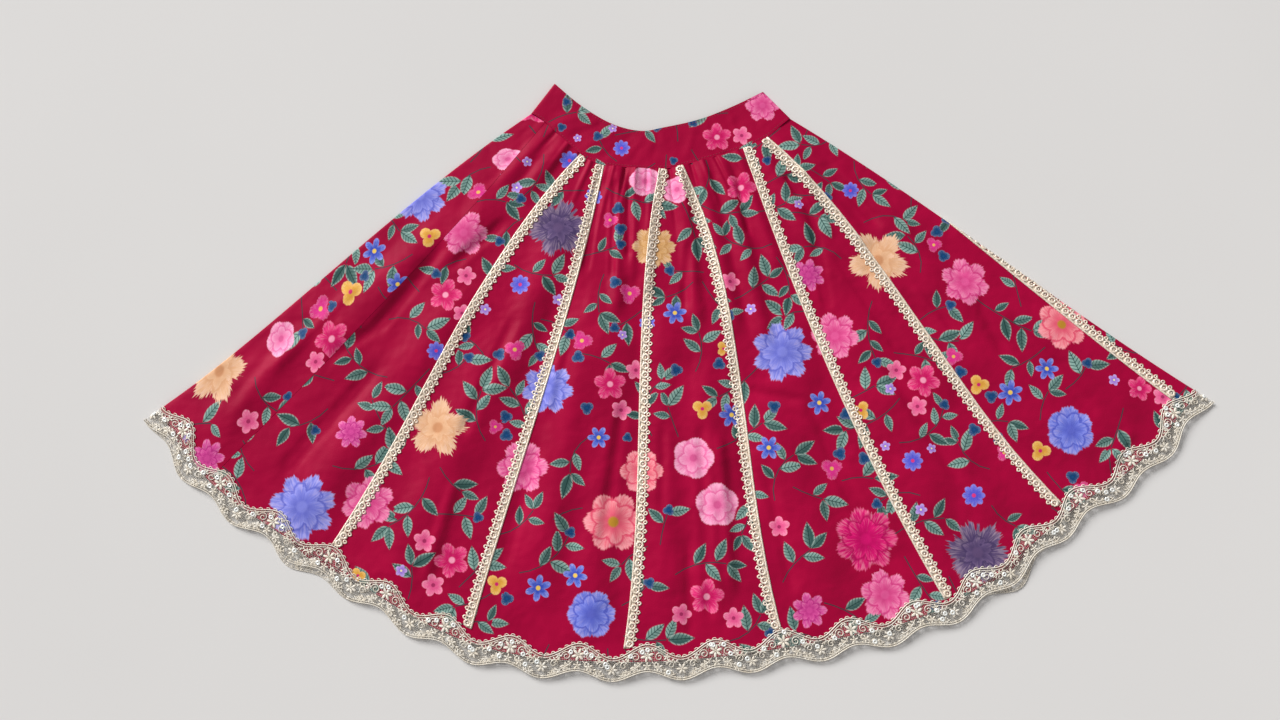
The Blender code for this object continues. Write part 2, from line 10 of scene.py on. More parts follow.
import bmesh
import bpy
import numpy as np
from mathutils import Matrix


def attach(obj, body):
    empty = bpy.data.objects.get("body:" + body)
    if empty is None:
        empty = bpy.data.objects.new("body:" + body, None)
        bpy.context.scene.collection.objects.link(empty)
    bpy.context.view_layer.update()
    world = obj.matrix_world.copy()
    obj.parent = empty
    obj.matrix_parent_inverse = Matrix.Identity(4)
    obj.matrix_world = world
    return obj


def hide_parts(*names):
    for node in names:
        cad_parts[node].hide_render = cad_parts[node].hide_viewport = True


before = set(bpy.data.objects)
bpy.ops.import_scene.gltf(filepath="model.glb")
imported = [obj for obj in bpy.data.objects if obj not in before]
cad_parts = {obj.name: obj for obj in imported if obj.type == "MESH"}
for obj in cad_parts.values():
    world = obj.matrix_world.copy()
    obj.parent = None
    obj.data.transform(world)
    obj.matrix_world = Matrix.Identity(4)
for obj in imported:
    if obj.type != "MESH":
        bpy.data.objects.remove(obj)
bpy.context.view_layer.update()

bl_info = {
    "name": "Lehenga skirt",
    "version": (1, 0, 0),
    "blender": (4, 5, 0),
    "location": "View3D > Sidebar > Lehenga",
    "description": "Printed silk, beaded trims and metallic lace of a lehenga skirt laid flat",
    "category": "Object",
}

MM = 0.001

# Cloth, side folds and heights
CLOTH = 1.2
SKIRT_LENGTH = 540.0
BEND = 0.9
BEND_STEPS = (-90, -60, -30, 0, 30, 60, 90)
UNDER_LIFT = 1.4
LIFT_EDGE = 3.0
LIFT_RAMP = 14.0
LOFT = 1.6
LOFT_RAMP = 45.0
LEAST_LOFT = 0.15
# What the heights in the tables of folds and creases are multiplied by
FOLD_DEPTH = 1.8
CREASE_DEPTH = 1.9
FOLD_PROBE = 5.0
SEAM_GAP = 0.3
CENTRE = np.array((2.46, 7.49))
SILK = 0.45
SHARP_ANGLE = 60.0
# Where the way past the hem is taken from, and a step just short of a table's end
HEM_PROBE = 0.98
SHORT_OF_END = 1.001

# Lines down the front, left to right, with a place at each station from waist to hem
STATIONS = (0.0, 0.2, 0.6, 1.0)
# Columns: name, waist, upper, lower, hem
FRONT_LINES = (
    ("left_fold", (-165, 302), (-247, 239), (-401, 102), (-556, -33)),
    ("left_side_seam", (-149, 291), (-216, 206), (-357, 44), (-504, -114)),
    ("trim_1", (-109, 254), (-174, 171), (-277, -13), (-379, -197)),
    ("trim_2", (-81, 240), (-104, 133), (-162, -77), (-221, -283)),
    ("trim_3", (-20, 236), (-35, 128), (-44, -91), (-61, -303)),
    ("trim_4", (8, 240), (44, 138), (77, -75), (113, -288)),
    ("trim_5", (75, 260), (109, 156), (188, -51), (283, -246)),
    ("trim_6", (104, 274), (174, 196), (292, 21), (419, -147)),
    ("guide", (117, 285), (201, 220), (347, 68), (497, -94)),
    ("right_fold", (130, 296), (219, 236), (392, 108), (567, -18)),
)
LINE_STEPS = 10
LINE_ROWS = 6

# Trims 7 to 14 and the right side seam. A pair of values is for the waist and the hem.
ROUND_TRIM = (15.0, -26.0)
RIGHT_SIDE_SEAM = (30.5, 96.0)
LAST_BEHIND = (34.0, 88.0)
TRIM_PAIR = (30.0, 178.0)
TRIM_SPACE = (52.0, 172.0)
BACK_STRIPS = 7
FRONT_TRIMS = 6
ROUND_TRIM_REACH = 34.0
TRIM_COLUMN = 14.0

# Soft folds of the front, each a ridge along a straight line
# Columns: start, end, half width, height
FRONT_FOLDS = (
    ((-146, 282), (-198, 215), 16, 1.6),
    ((-127, 268), (-172, 205), 15, 1.8),
    ((-66, 240), (-66, 74), 14, 2.4),
    ((-46, 237), (-50, 110), 13, 2.0),
    ((-29, 236), (-36, 90), 12, 1.8),
    ((3, 236), (22, 60), 14, 2.2),
    ((27, 243), (64, 51), 15, 2.4),
    ((50, 250), (96, 40), 16, 2.6),
    ((68, 255), (112, 120), 12, 1.8),
    ((94, 265), (150, 150), 14, 1.8),
    ((112, 276), (210, 150), 14, 2.0),
    ((125, 286), (262, 165), 15, 2.0),
    ((-264, 170), (-390, 20), 34, 2.2),
    ((-205, 200), (-262, 120), 30, 1.8),
    ((-130, 165), (-195, -20), 30, 2.4),
    ((-229, 96), (-405, -156), 40, 2.6),
    ((-195, 40), (-290, -200), 44, 2.8),
    ((-85, 85), (-150, -209), 38, 3.2),
    ((-62, 62), (-95, -250), 34, 2.6),
    ((-14, 60), (-12, -250), 32, 2.4),
    ((28, 10), (34, -240), 34, 3.0),
    ((95, -40), (160, -235), 42, 3.0),
    ((110, 60), (150, -60), 34, 2.2),
    ((185, 60), (285, -167), 40, 2.8),
    ((242, -10), (344, -156), 38, 2.4),
    ((232, 170), (330, 60), 34, 2.4),
    ((300, 51), (440, -90), 40, 2.6),
    ((380, 85), (505, -50), 34, 2.0),
    ((-430, 40), (-500, -70), 36, 2.0),
)

# Creases of the front, finer than the folds: a trough has a negative height
# Columns: start, end, half width, height
FRONT_CREASES = (
    ((-87, 217), (-101, 120), 7, -1.5),
    ((-69, 220), (-72, 111), 6, -1.4),
    ((-52, 220), (-54, 133), 6, -1.3),
    ((14, 150), (8, 77), 8, -1.3),
    ((69, 222), (80, 160), 6, -1.2),
    ((124, 228), (153, 183), 8, -1.5),
    ((151, 186), (166, 77), 9, -1.5),
    ((138, 236), (170, 160), 9, 1.6),
    ((74, -17), (135, -28), 9, -1.1),
    ((-16, -60), (-18, -145), 8, -1.0),
    ((25, -56), (32, -256), 10, -1.4),
    ((44, -70), (56, -230), 10, 1.4),
    ((-261, 144), (-327, 55), 12, -1.5),
    ((-320, 62), (-380, 18), 11, -1.2),
    ((-195, 172), (-250, 122), 10, -1.4),
    ((168, 244), (223, 172), 9, -1.4),
    ((245, 189), (318, 114), 11, -1.4),
    ((333, 77), (358, 26), 11, -1.2),
    ((462, -98), (490, -62), 10, 1.5),
    ((-180, 60), (-232, -64), 10, -1.3),
    ((-152, -80), (-187, -205), 11, -1.4),
    ((-60, -36), (-82, -186), 10, -1.3),
    ((62, 6), (78, -150), 10, -1.2),
    ((143, -30), (203, -172), 12, -1.4),
    ((232, 4), (300, -112), 12, -1.4),
    ((300, -16), (402, -112), 12, -1.3),
    ((-330, 4), (-424, -104), 13, -1.4),
    ((-420, 64), (-486, -30), 12, -1.3),
    ((182, 132), (250, 22), 12, -1.4),
    ((-120, 60), (-142, -40), 9, 1.2),
    ((-240, -120), (-268, -216), 10, 1.3),
    ((370, 60), (452, -40), 11, -1.2),
    ((96, -110), (120, -226), 9, -1.1),
    ((-356, 100), (-440, 8), 10, 1.2),
    ((10, -180), (12, -276), 8, -0.9),
    ((262, 96), (300, 40), 9, 1.2),
)

# Gathers under the waistband, front and back
# Columns: share of the row, half width, depth, length
GATHERS = (
    (0.05, 5.0, 0.8, 60),
    (0.11, 4.0, -0.9, 45),
    (0.17, 4.5, 0.7, 75),
    (0.225, 3.5, -1.0, 50),
    (0.27, 4.0, 0.9, 90),
    (0.315, 3.0, -1.1, 80),
    (0.35, 3.5, 0.9, 110),
    (0.39, 3.0, -1.2, 95),
    (0.425, 3.5, 1.0, 120),
    (0.465, 2.8, -1.1, 85),
    (0.5, 3.2, 0.8, 70),
    (0.54, 3.0, -1.2, 100),
    (0.575, 3.4, 1.0, 115),
    (0.615, 3.0, -1.1, 70),
    (0.655, 3.6, 0.9, 95),
    (0.7, 3.2, -1.2, 110),
    (0.745, 4.0, 0.8, 60),
    (0.79, 3.6, -1.0, 85),
    (0.84, 4.2, 0.8, 50),
    (0.89, 4.0, -0.9, 65),
    (0.945, 4.6, 0.7, 45),
)
# Width of the row at places v, and how much the gathers widen down to the hem
GATHER_ROW = ((0.0, 0.25), (300.0, 560.0))
GATHER_SPREAD = 2.2

# Creases of the back, all upward because it rests on the floor
# Columns: start, end, half width, height
BACK_CREASES = (
    ((-190, 190), (-330, 20), 26, 0.7),
    ((-120, 150), (-200, -120), 24, 0.8),
    ((-50, 130), (-70, -180), 22, 0.6),
    ((30, 140), (60, -190), 24, 0.8),
    ((110, 150), (210, -110), 26, 0.7),
    ((190, 180), (350, 10), 24, 0.8),
    ((-330, 60), (-460, -80), 22, 0.6),
    ((320, 90), (470, -60), 24, 0.7),
    ((-10, 20), (0, -220), 18, 0.5),
    ((150, 10), (250, -190), 20, 0.6),
    ((-180, -20), (-270, -190), 20, 0.7),
)

# Where the hem of the back lies past the hem of the front
# Columns: place, spread, reach
BACK_PEEPS = (
    ((-556, -50), 45.0, 9.0),
    ((-391, -205), 36.0, 8.0),
    ((351, -205), 32.0, 7.0),
)
PEEP_FAN = (0.0, 240.0)
PEEP_FROM = 0.7

# The waistband
BAND_HEIGHT = 42.0
BAND_CLOTH = 1.9
BAND_BEND = 1.3
BAND_FOLD_SHARE = 0.45
BAND_ROWS = 15
BAND_COLUMNS = 96
BAND_POINTS = 53
BAND_TOP = (
    (-139, 338), (-109, 312), (-74, 290), (-41, 281), (-15, 285), (27, 295), (66, 311), (100, 328),
)
# Creases across the band, from the gathers pulled into its seam
# Columns: start, end, half width, height
BAND_CREASES = (
    ((-150, 300), (-118, 310), 4, -0.8),
    ((-140, 288), (-100, 302), 4, 0.8),
    ((-122, 272), (-84, 290), 4, -0.9),
    ((-104, 262), (-66, 282), 4, 0.8),
    ((-84, 250), (-50, 276), 4, -0.8),
    ((-58, 246), (-36, 276), 4, 0.7),
    ((-28, 244), (-20, 276), 5, -0.6),
    ((12, 250), (20, 284), 5, 0.7),
    ((44, 256), (40, 292), 4, -0.7),
    ((70, 268), (62, 300), 5, 0.7),
    ((94, 280), (84, 312), 4, -0.7),
    ((118, 294), (98, 320), 4, 0.6),
)

# Trims: rosettes of beads on a woven strip, with a cord along the outer edge
TRIM_WIDTH = 13.0
TRIM_INSET = 0.4
TRIM_END_GAP = 0.6
CORD_WIDTH = 2.2
CORD_UP = (0.68, 1.75)
STRIP_UP = (0.64, 0.86)
STRIP_WIDTH = 6.6
ROSETTE_ACROSS = 6.0
ROSETTE_RADIUS = 2.85
ROSETTE_TUBE = 1.3
ROSETTE_UP = 1.3
BEAD_SIZE = (2.2, 4.6, 1.5)
PICOT_ACROSS = 10.6
PICOT_RADIUS = 1.55
PICOT_TUBE = 0.8
PICOT_UP = 1.1
FLATTEN = 0.4
ROSETTE_BEADS = 8
PICOT_BEADS = 4
RING_SIDES = 5
BEAD_SWELL = (1.16, 1.16, 1.25)
STRIP_STEP = 4.0
STRIP_SHOULDER = 0.6
TRIM_SAMPLES = 9

# A worked petal: faces round and along it, and its shape
PETAL_POINTS = (8, 4)
PETAL_SHAPE = (1.0, 0.46, 0.8)

# Hem lace
LACE_REPEATS = 36
LACE_PHASE = 0.5
LACE_ON_CLOTH = 11.0
LACE_ON_WAVE = 7.5
LACE_PAST_HEM = 16.0
LACE_PAST_WAVE = 5.0
LACE_DROOP = 2.6
NET_SOLID = 0.7
NET_UP = (0.72, 0.92)
NET_COLUMNS = 26
NET_ROWS = 9
NET_OFF_FOLD = 2.2
CORD_LEVEL = 1.35
LACE_PIECES = 4
# Cords along the edges of the lace
# Columns: share of the way from the outer to the inner edge, millimetres to the waist, radius
EDGE_CORDS = ((1.0, -0.4, 0.6), (1.0, -3.0, 0.42), (0.0, 0.5, 0.5), (0.0, 2.6, 0.35))
EDGE_POINTS = 31
# Loops on the inner edge and petals on the outer edge, of one repeat
LOOPS = 11
LOOP_SIZE = (2.3, 1.7)
LOOP_RADIUS = 0.42
LOOP_POINTS = 6
EDGE_PETALS = 14
EDGE_PETAL_SHARE = 0.06
EDGE_PETAL_RISE = 1.0
EDGE_PETAL_SIZE = (3.0, 2.6, 0.9)
EDGE_PETAL_DROP = 0.3
# Flowers, leaves and scrolls of one repeat
PETAL_OUT = 0.62
PETAL_HEIGHT = 1.1
PETAL_DROP = 0.2
RING_RADIUS = 0.9
RING_CORD = 0.4
RING_POINTS = 6
STEM_CORD = 0.4
STEM_POINTS = 9
LACE_LEAF_TURN = 0.9
LACE_LEAF_HEIGHT = 0.9
SCROLL_CORD = 0.5
SCROLL_END = 0.8
SCROLL_POINTS = 12
# Columns: x from the middle of the repeat, y over the edge of the cloth, petals, size, turn
MIDDLE_FLOWERS = ((0.0, 6.0, 6, 6.6, 0.3), (0.0, -5.2, 5, 4.2, 1.57))
SIDE_FLOWERS = ((12.0, -6.6, 5, 4.4, 0.5), (20.5, 3.6, 5, 3.6, 0.1))
# Columns: x, y, turns, size, which way it winds
SIDE_SCROLLS = ((12.5, 4.5, 1.4, 5.0, 1.0), (24.5, -4.5, 1.3, 4.4, -1.0))

# Sequins: SEQUIN_RING holds the radii of the ring and of its rim, as shares of the width
SEQUIN_SEED = 7
SEQUIN_POINTS = (14, 4)
SEQUIN_RING = (0.31, 0.19)
SEQUIN_FLAT = 0.22
SEQUIN_UP = 0.28
SEQUIN_CHANGE = ((-0.05, 0.05), (-0.1, 0.06))
# Where sequins may lie: share along the repeat, and from the outer to the inner edge
SEQUIN_PLACES = (
    (0.02, 0.86), (0.11, 0.8), (-0.1, 0.78), (-0.27, 0.72), (0.24, 0.66), (0.47, 0.6), (0.4, 0.62),
    (-0.1, 0.3), (0.3, 0.25),
)
SEQUIN_SHARE = 0.6

# Stitches of the waistband: their rows, from seam to top edge, and share of the step, width, height
STITCH_ROWS = (0.06, 0.95)
STITCH_SIZE = (0.72, 1.3, 0.4)
STITCH_UP = 0.02

# The board in metres, and the even light of the room
BOARD_SIZE = 12.0
BOARD_LEVEL = -0.0002
ROOM_COLOUR = "#F6F4F4"
ROOM_STRENGTH = 0.27

# The camera, at the photograph's angle
CAMERA_HEIGHT_ANGLE = 80.0
CAMERA_DISTANCE = 1250.0
CAMERA_TARGET = (-43.46, 10.51)
CAMERA_LENS = 32.0
SENSOR_WIDTH = 36.0

# Colours of the print's flowers, as sRGB hex. A ring of 0 means a single row of petals.
# Columns: kind, petals, gap depth, raggedness, inner ring, outer, inner, heart
FLOWER_KINDS = (
    ("peach", 5, 0.36, 0.42, 0.3, "#E9BC96", "#D9A47C", "#C98E66"),
    ("tan", 8, 0.2, 0.2, 0.4, "#DDAF78", "#C28F58", "#A87444"),
    ("dusk", 6, 0.26, 0.42, 0.3, "#6F5A82", "#4A3B62", "#5E4A70"),
    ("periwinkle", 7, 0.24, 0.2, 0.46, "#9498EA", "#6166C2", "#7C80D4"),
    ("violet", 6, 0.12, 0.14, 0.5, "#8490EA", "#535CC0", "#5E66C6"),
    ("pink", 6, 0.24, 0.17, 0.48, "#EE74A8", "#CC3A7C", "#DA5590"),
    ("coral", 6, 0.22, 0.14, 0.5, "#F4929A", "#DA4A68", "#B8862E"),
    ("rose", 5, 0.12, 0.1, 0.46, "#F8A6CA", "#E2699E", "#D2588E"),
    ("fuchsia", 7, 0.2, 0.2, 0.46, "#E01A74", "#AE0A54", "#C21262"),
    ("lotus", 7, 0.34, 0.1, 0.36, "#E25AA2", "#B42C7C", "#CC4690"),
    ("hot_pink", 5, 0.34, 0.1, 0.0, "#EA3A80", "#C4185C", "#EE9AB4"),
    ("small_pink", 5, 0.34, 0.04, 0.0, "#F47FA6", "#E0558A", "#A83060"),
    ("blue_star", 6, 0.5, 0.02, 0.0, "#6A82DC", "#3A4CB2", "#EAC45C"),
    ("blue_ring", 8, 0.24, 0.04, 0.0, "#6C72DC", "#5454C8", "#D63A7C"),
    ("orchid", 3, 0.46, 0.08, 0.0, "#E6B64E", "#D2963E", "#C8246A"),
    ("blur", 3, 0.42, 0.2, 0.0, "#C6166A", "#D63488", "#E4B45E"),
    ("navy", 3, 0.3, 0.02, 0.0, "#1A507E", "#17406E", "#1C4A7A"),
    ("lilac", 5, 0.34, 0.02, 0.0, "#C0A0E4", "#9A74D0", "#F4EAA8"),
)
KIND_NAMES = [row[0] for row in FLOWER_KINDS]

# Large flowers and stars placed on the front
# Columns: kind, then x, y, radius and turn of each
FRONT_FLOWERS = (
    ("peach", (-262, -65, 34, 10), (221, 122, 35, -20)),
    ("tan", (-28, 137, 26, 0)),
    ("dusk", (-135, 159, 35, 10), (315, -198, 35, 50)),
    ("periwinkle", (-404, -150, 38, 15), (-144, -22, 30, 40), (112, 18, 35, 0)),
    ("violet", (-95, -262, 27, 0), (421, -68, 28, 30)),
    ("pink", (-240, 153, 28, 0), (170, 36, 28, 50), (316, 97, 29, 100), (-335, -145, 30, 20),
        (-170, -108, 30, 60), (215, -242, 28, 45)),
    ("coral", (-72, -166, 34, 0), (-42, -112, 25, 60), (420, 49, 30, 20)),
    ("rose", (14, -98, 24, 0), (39, -148, 25, 90), (-38, 213, 19, 30), (-2, 203, 17, 70)),
    ("fuchsia", (197, -184, 36, 0)),
    ("lotus", (-355, -70, 19, 40), (143, 105, 20, 80), (135, -258, 20, 0)),
    ("hot_pink", (-258, 82, 20, 0), (-76, -18, 19, 20), (-243, -206, 20, 40), (27, -244, 20, 10),
        (265, -13, 20, 60), (70, 206, 19, 0), (500, -22, 15, 0)),
    ("small_pink", (-236, 104, 12, 0), (-48, -2, 12, 20), (-64, -46, 12, 0), (-272, -186, 13, 10),
        (-262, -232, 13, 30), (0, -262, 12, 0), (55, -266, 12, 20), (236, -2, 12, 10),
        (257, -42, 12, 30)),
    ("blue_star", (-151, -235, 15, 20), (-112, -222, 14, 50), (-88, -76, 13, 0), (-5, 62, 14, 10),
        (95, -87, 14, 0), (151, -38, 14, 15), (56, -51, 15, 0), (358, -27, 15, 20), (401, 0, 14, 0)),
)

# Small flowers and buds placed on the front
# Columns: kind, then x, y, radius and turn of each
FRONT_BUDS = (
    ("blur", (-77, 168, 10, 0), (-55, 84, 13, 20), (-180, 20, 13, 40), (-107, 30, 13, 0),
        (-200, -64, 9, 0), (284, 140, 10, 10), (299, 13, 11, 0), (163, -109, 13, 30), (349, -92, 10, 0),
        (430, -131, 10, 50)),
    ("orchid", (48, 22, 9, 0), (24, -45, 12, 30), (325, -18, 12, 0), (196, -46, 11, 60),
        (388, -90, 12, 0), (-195, -231, 12, 20), (-342, -222, 9, 0)),
    ("navy", (-68, 181, 8, 90), (-65, 157, 8, 30), (-71, 96, 8, 0), (-197, 15, 8, 60),
        (-111, 12, 8, 90), (-189, -53, 8, 0), (-188, -73, 8, 90), (-101, -44, 8, 30), (-4, -2, 8, 0),
        (43, 5, 8, 90), (102, -42, 8, 30), (288, 155, 8, 90), (294, 127, 8, 0), (306, -4, 8, 0),
        (338, -31, 8, 30), (180, -50, 8, 90), (198, -98, 8, 0), (172, -93, 8, 60), (318, -67, 8, 0),
        (345, -77, 8, 90), (421, -118, 8, 30), (-184, -246, 8, 0)),
    ("blue_ring", (-123, 238, 12, 0), (-176, 94, 12, 0), (-266, 19, 11, 0), (193, 203, 10, 0),
        (249, -101, 12, 0), (313, -138, 13, 0)),
    ("small_pink", (56, 97, 12, 0), (-239, 61, 11, 0), (105, -171, 12, 20), (525, -31, 12, 0)),
    ("lilac", (-214, 66, 7, 0), (-134, 77, 7, 0), (-182, 206, 7, 0), (228, -23, 7, 0), (472, -13, 7, 0),
        (256, -153, 7, 0), (-296, -217, 7, 0)),
)

# Flowers of the back panel where it comes round to the front, left of the left side seam
# Columns: kind, then x, y, radius and turn of each
SLICE_FLOWERS = (
    ("periwinkle", (-292, 196, 32, 70)),
    ("blue_star", (-338, 134, 15, 0)),
    ("orchid", (-276, 150, 13, 0), (-356, 92, 15, 0)),
    ("blur", (-390, 72, 15, 60)),
    ("hot_pink", (-370, 42, 21, 70)),
    ("small_pink", (-388, 16, 12, 0)),
    ("peach", (-505, -4, 34, 40)),
    ("lotus", (-492, -84, 20, 0)),
    ("small_pink", (-448, -42, 13, 0)),
    ("navy", (-346, 106, 7, 60), (-374, 78, 7, 0)),
    ("rose", (-200, 234, 16, 60)),
    ("lilac", (-206, 210, 6, 0)),
)

# Flowers placed on the waistband
# Columns: kind, then x, y, radius and turn of each
BAND_FLOWERS = (
    ("pink", (96, 304, 21, 0)),
    ("hot_pink", (44, 266, 18, 20)),
    ("small_pink", (72, 268, 12, 0)),
)

# Flowers scattered at random on the front, on the back and on the waistband
# Columns: kind, radius, tries
FRONT_FILLERS = (("blue_ring", 11.0, 4), ("navy", 7.0, 6), ("lilac", 6.5, 12))
BACK_FILLERS = (
    ("periwinkle", 35.0, 60), ("peach", 34.0, 60), ("coral", 31.0, 60), ("pink", 28.0, 120),
    ("dusk", 34.0, 50), ("violet", 27.0, 50), ("fuchsia", 34.0, 40), ("tan", 25.0, 50),
    ("rose", 22.0, 80), ("lotus", 19.0, 80), ("hot_pink", 19.0, 120), ("blue_star", 14.0, 140),
    ("blur", 14.0, 26), ("orchid", 13.0, 26), ("blue_ring", 11.0, 22), ("small_pink", 11.0, 10),
    ("navy", 6.5, 8), ("lilac", 6.0, 20),
)
BAND_FILLERS = (("blue_ring", 11.0, 5), ("navy", 6.5, 12), ("lilac", 6.0, 6))
FLOWER_SIZES = (0.85, 1.1)
LARGE_RADIUS = 15.0
LARGE_SPACE = 14.0
SMALL_SPACE = 6.0

# Leafy branches: lengths in millimetres, turns in radians
BRANCH_TRIES = 2600
BRANCH_SPACE = 18.0
BRANCH_OFF_FLOWERS = 4.0
BRANCH_STEP = 11.5
BRANCH_STEPS = (3, 4, 5, 6)
BRANCH_BEND = 0.3
LEAF_LENGTH = (19.0, 30.0)
LEAF_SPACE = 9.5
LEAF_TURN = 0.9
LEAF_TURN_CHANGE = (-0.2, 0.3)
TIP_TURN_CHANGE = (-0.3, 0.3)
LEAF_WIDTH = 0.23
BUD_SHARE = 0.3
BUD_STEP = 0.3
BUD_RADIUS = 6.8
STEM_HALF_WIDTH = 0.75

# How the print is set out on the cloth's points
PRINT_SEEDS = {"front": 11, "back": 23, "band": 5}
PRINT_SAMPLE = 3
PLACE_CHANGE = 4
PETAL_REACH = 1.12
MOTIF_SPARE = 5.0
# A coordinate that lies outside every motif, and a place that lies off the cloth
NOTHING = 9.0
OFF_CLOTH = 1e4
WIDEST_FACE = 60.0

# Pale pink at the lit petal edges, linear
PETAL_LIGHT = (0.95, 0.72, 0.74, 1.0)


def ease(t):
    """Smooth step from 0 to 1."""
    t = np.clip(t, 0.0, 1.0)
    return t * t * (3.0 - 2.0 * t)


def mix(a, b, t):
    """Value between a and b."""
    return a + (b - a) * t


def linear(hex_colour):
    """Linear colour from an sRGB hex value."""
    parts = [int(hex_colour[i:i + 2], 16) / 255.0 for i in (1, 3, 5)]
    return tuple(p / 12.92 if p <= 0.04045 else ((p + 0.055) / 1.055) ** 2.4 for p in parts)


def station_point(row, v):
    """Place at v on the smooth curve through a line's stations."""
    point = np.zeros(2)
    for i, here in enumerate(STATIONS):
        others = [other for other in STATIONS if other != here]
        weight = math.prod((v - other) / (here - other) for other in others)
        point += weight * np.array(row[i + 1], dtype=float)
    return point


def smooth_line(knots):
    """Smooth line through knots, with LINE_STEPS points from each knot to the next."""
    knots = [np.array(k, dtype=float) for k in knots]
    ends = [2 * knots[0] - knots[1]] + knots + [2 * knots[-1] - knots[-2]]
    line = []
    for before, start, end, after in zip(ends, ends[1:], ends[2:], ends[3:]):
        for t in np.arange(LINE_STEPS) / LINE_STEPS:
            bend = 2 * before - 5 * start + 4 * end - after
            twist = 3 * start - before - 3 * end + after
            line.append(0.5 * (2 * start + (end - before) * t + bend * t ** 2 + twist * t ** 3))
    return np.array(line + [knots[-1]])


def reach_along(line):
    """Distance of each point of a line from its start."""
    return np.concatenate([[0.0], np.cumsum(np.hypot(*np.diff(line, axis=0).T))])


def relief(flat, ridges):
    """Height at flat places of ridges and troughs along straight lines."""
    height = np.zeros(flat.shape[:-1])
    for start, end, half_width, rise in ridges:
        offset = flat - np.array(start, dtype=float)
        run = np.array(end, dtype=float) - np.array(start, dtype=float)
        length = float(np.hypot(*run))
        along = offset @ run / length
        across = np.abs(run[0] * offset[..., 1] - run[1] * offset[..., 0]) / length
        taper = ease((along + half_width) / (2.0 * half_width))
        taper = taper * ease((length + half_width - along) / (2.0 * half_width))
        wave = 0.5 * (1.0 + np.cos(math.pi * np.minimum(across / half_width, 1.0)))
        height += rise * taper * wave
    return height


class Tube:
    """A tube of cloth pressed flat, with round side folds, as a table of rows."""

    ROWS = 109
    SHARES = 401

    def __init__(self, cloth, bend, make_line, raise_front, raise_back, shift=None):
        self.cloth = cloth
        self.bend = bend
        self.quarter = math.pi * bend / 2.0
        self.raise_front = raise_front
        self.raise_back = raise_back
        self.shift = shift
        self.rows = np.linspace(0.0, 1.0, self.ROWS)
        lines = [make_line(v) for v in self.rows]
        reaches = [reach_along(line) for line in lines]
        self.lengths = np.array([reach[-1] for reach in reaches])
        shares = np.linspace(0.0, 1.0, self.SHARES)
        self.table = np.array([
            [np.interp(shares * reach[-1], reach, line[:, axis]) for axis in (0, 1)]
            for line, reach in zip(lines, reaches)])

    def length(self, v):
        """Length of the flat row at v."""
        return np.interp(v, self.rows, self.lengths)

    def at(self, v, distance):
        """Flat place at a distance from the left fold."""
        row = np.clip(np.asarray(v) * (self.ROWS - 1), 0.0, self.ROWS - SHORT_OF_END)
        share = np.clip(distance / self.length(v), 0.0, 1.0) * (self.SHARES - SHORT_OF_END)
        k, j = row.astype(int), share.astype(int)
        s, t = row - k, share - j
        places = []
        for axis in (0, 1):
            plane = self.table[:, axis]
            upper = mix(plane[k, j], plane[k, j + 1], t)
            lower = mix(plane[k + 1, j], plane[k + 1, j + 1], t)
            places.append(mix(upper, lower, s))
        return np.stack(places, axis=-1)

    def outward(self, v, edge):
        """Flat direction out of the tube at its fold."""
        way = self.at(v, edge) - self.at(v, np.abs(edge - FOLD_PROBE))
        return way / np.linalg.norm(way, axis=-1, keepdims=True)

    def spot(self, v, q):
        """Middle of the cloth at places (v, q), and the direction out of the tube there."""
        v, q = np.broadcast_arrays(np.asarray(v, dtype=float), np.asarray(q, dtype=float))
        length = self.length(v)
        q = q % (2.0 * length)
        front = q <= length
        along = np.where(front, q, 2.0 * length - q)
        left = along < length / 2.0
        near = np.where(left, along, length - along)
        turn = np.minimum(near / self.bend, math.pi / 2.0)
        inset = self.cloth / 2.0 + self.bend * (1.0 - np.cos(turn)) + np.maximum(near - self.quarter, 0.0)
        flat = self.at(v, np.where(left, inset, length - inset))
        outward = self.outward(v, np.where(left, 0.0, length))
        side = np.where(front, 1.0, -1.0)
        height = self.cloth / 2.0 + self.bend * (1.0 + side * np.sin(turn))
        loft = ease((near - self.quarter) / LOFT_RAMP)
        above = UNDER_LIFT + self.raise_front(v, along / length, flat) * loft
        below = self.raise_back(v, q, near, flat)
        height = height + np.where(front, above, below)
        if self.shift:
            flat = flat + self.shift(v, flat, near, front)
        flat = flat - CENTRE
        middle = np.stack([flat[..., 0], flat[..., 1], height], axis=-1)
        across = outward * np.cos(turn)[..., None]
        normal = np.stack([across[..., 0], across[..., 1], side * np.sin(turn)], axis=-1)
        return middle, normal

    def lay(self, v, q, out):
        """Points at heights over the middle of the cloth. Past the hem, v goes on over 1."""
        v, q, out = np.broadcast_arrays(v, q, out)
        on_cloth = np.minimum(v, 1.0)
        middle, normal = self.spot(on_cloth, q * self.length(on_cloth) / self.length(1.0))
        past = (v - on_cloth) * SKIRT_LENGTH
        if np.any(past > 0.0):
            probe = np.full(v.shape, HEM_PROBE)
            above, _ = self.spot(probe, q * self.length(HEM_PROBE) / self.length(1.0))
            down = middle - above
            down[..., 2] = 0.0
            down /= np.linalg.norm(down, axis=-1, keepdims=True)
            down[..., 2] = -LACE_DROOP * np.maximum(normal[..., 2], 0.0) / LACE_PAST_HEM
            middle = middle + down * past[..., None]
        return middle + normal * out[..., None]

    def print_place(self, v, q, behind):
        """Place in the flat print. Past a fold, it goes straight on."""
        length = self.length(v)
        if behind:
            flat = self.at(v, 2.0 * length - q)
            past = np.maximum(q - 2.0 * length, 0.0)
            flat = flat + self.outward(v, 0.0 * length) * past[..., None]
            return (flat - CENTRE) * np.array((-1.0, 1.0))
        past = np.maximum(q - length, 0.0)
        return self.at(v, q) + self.outward(v, length) * past[..., None] - CENTRE


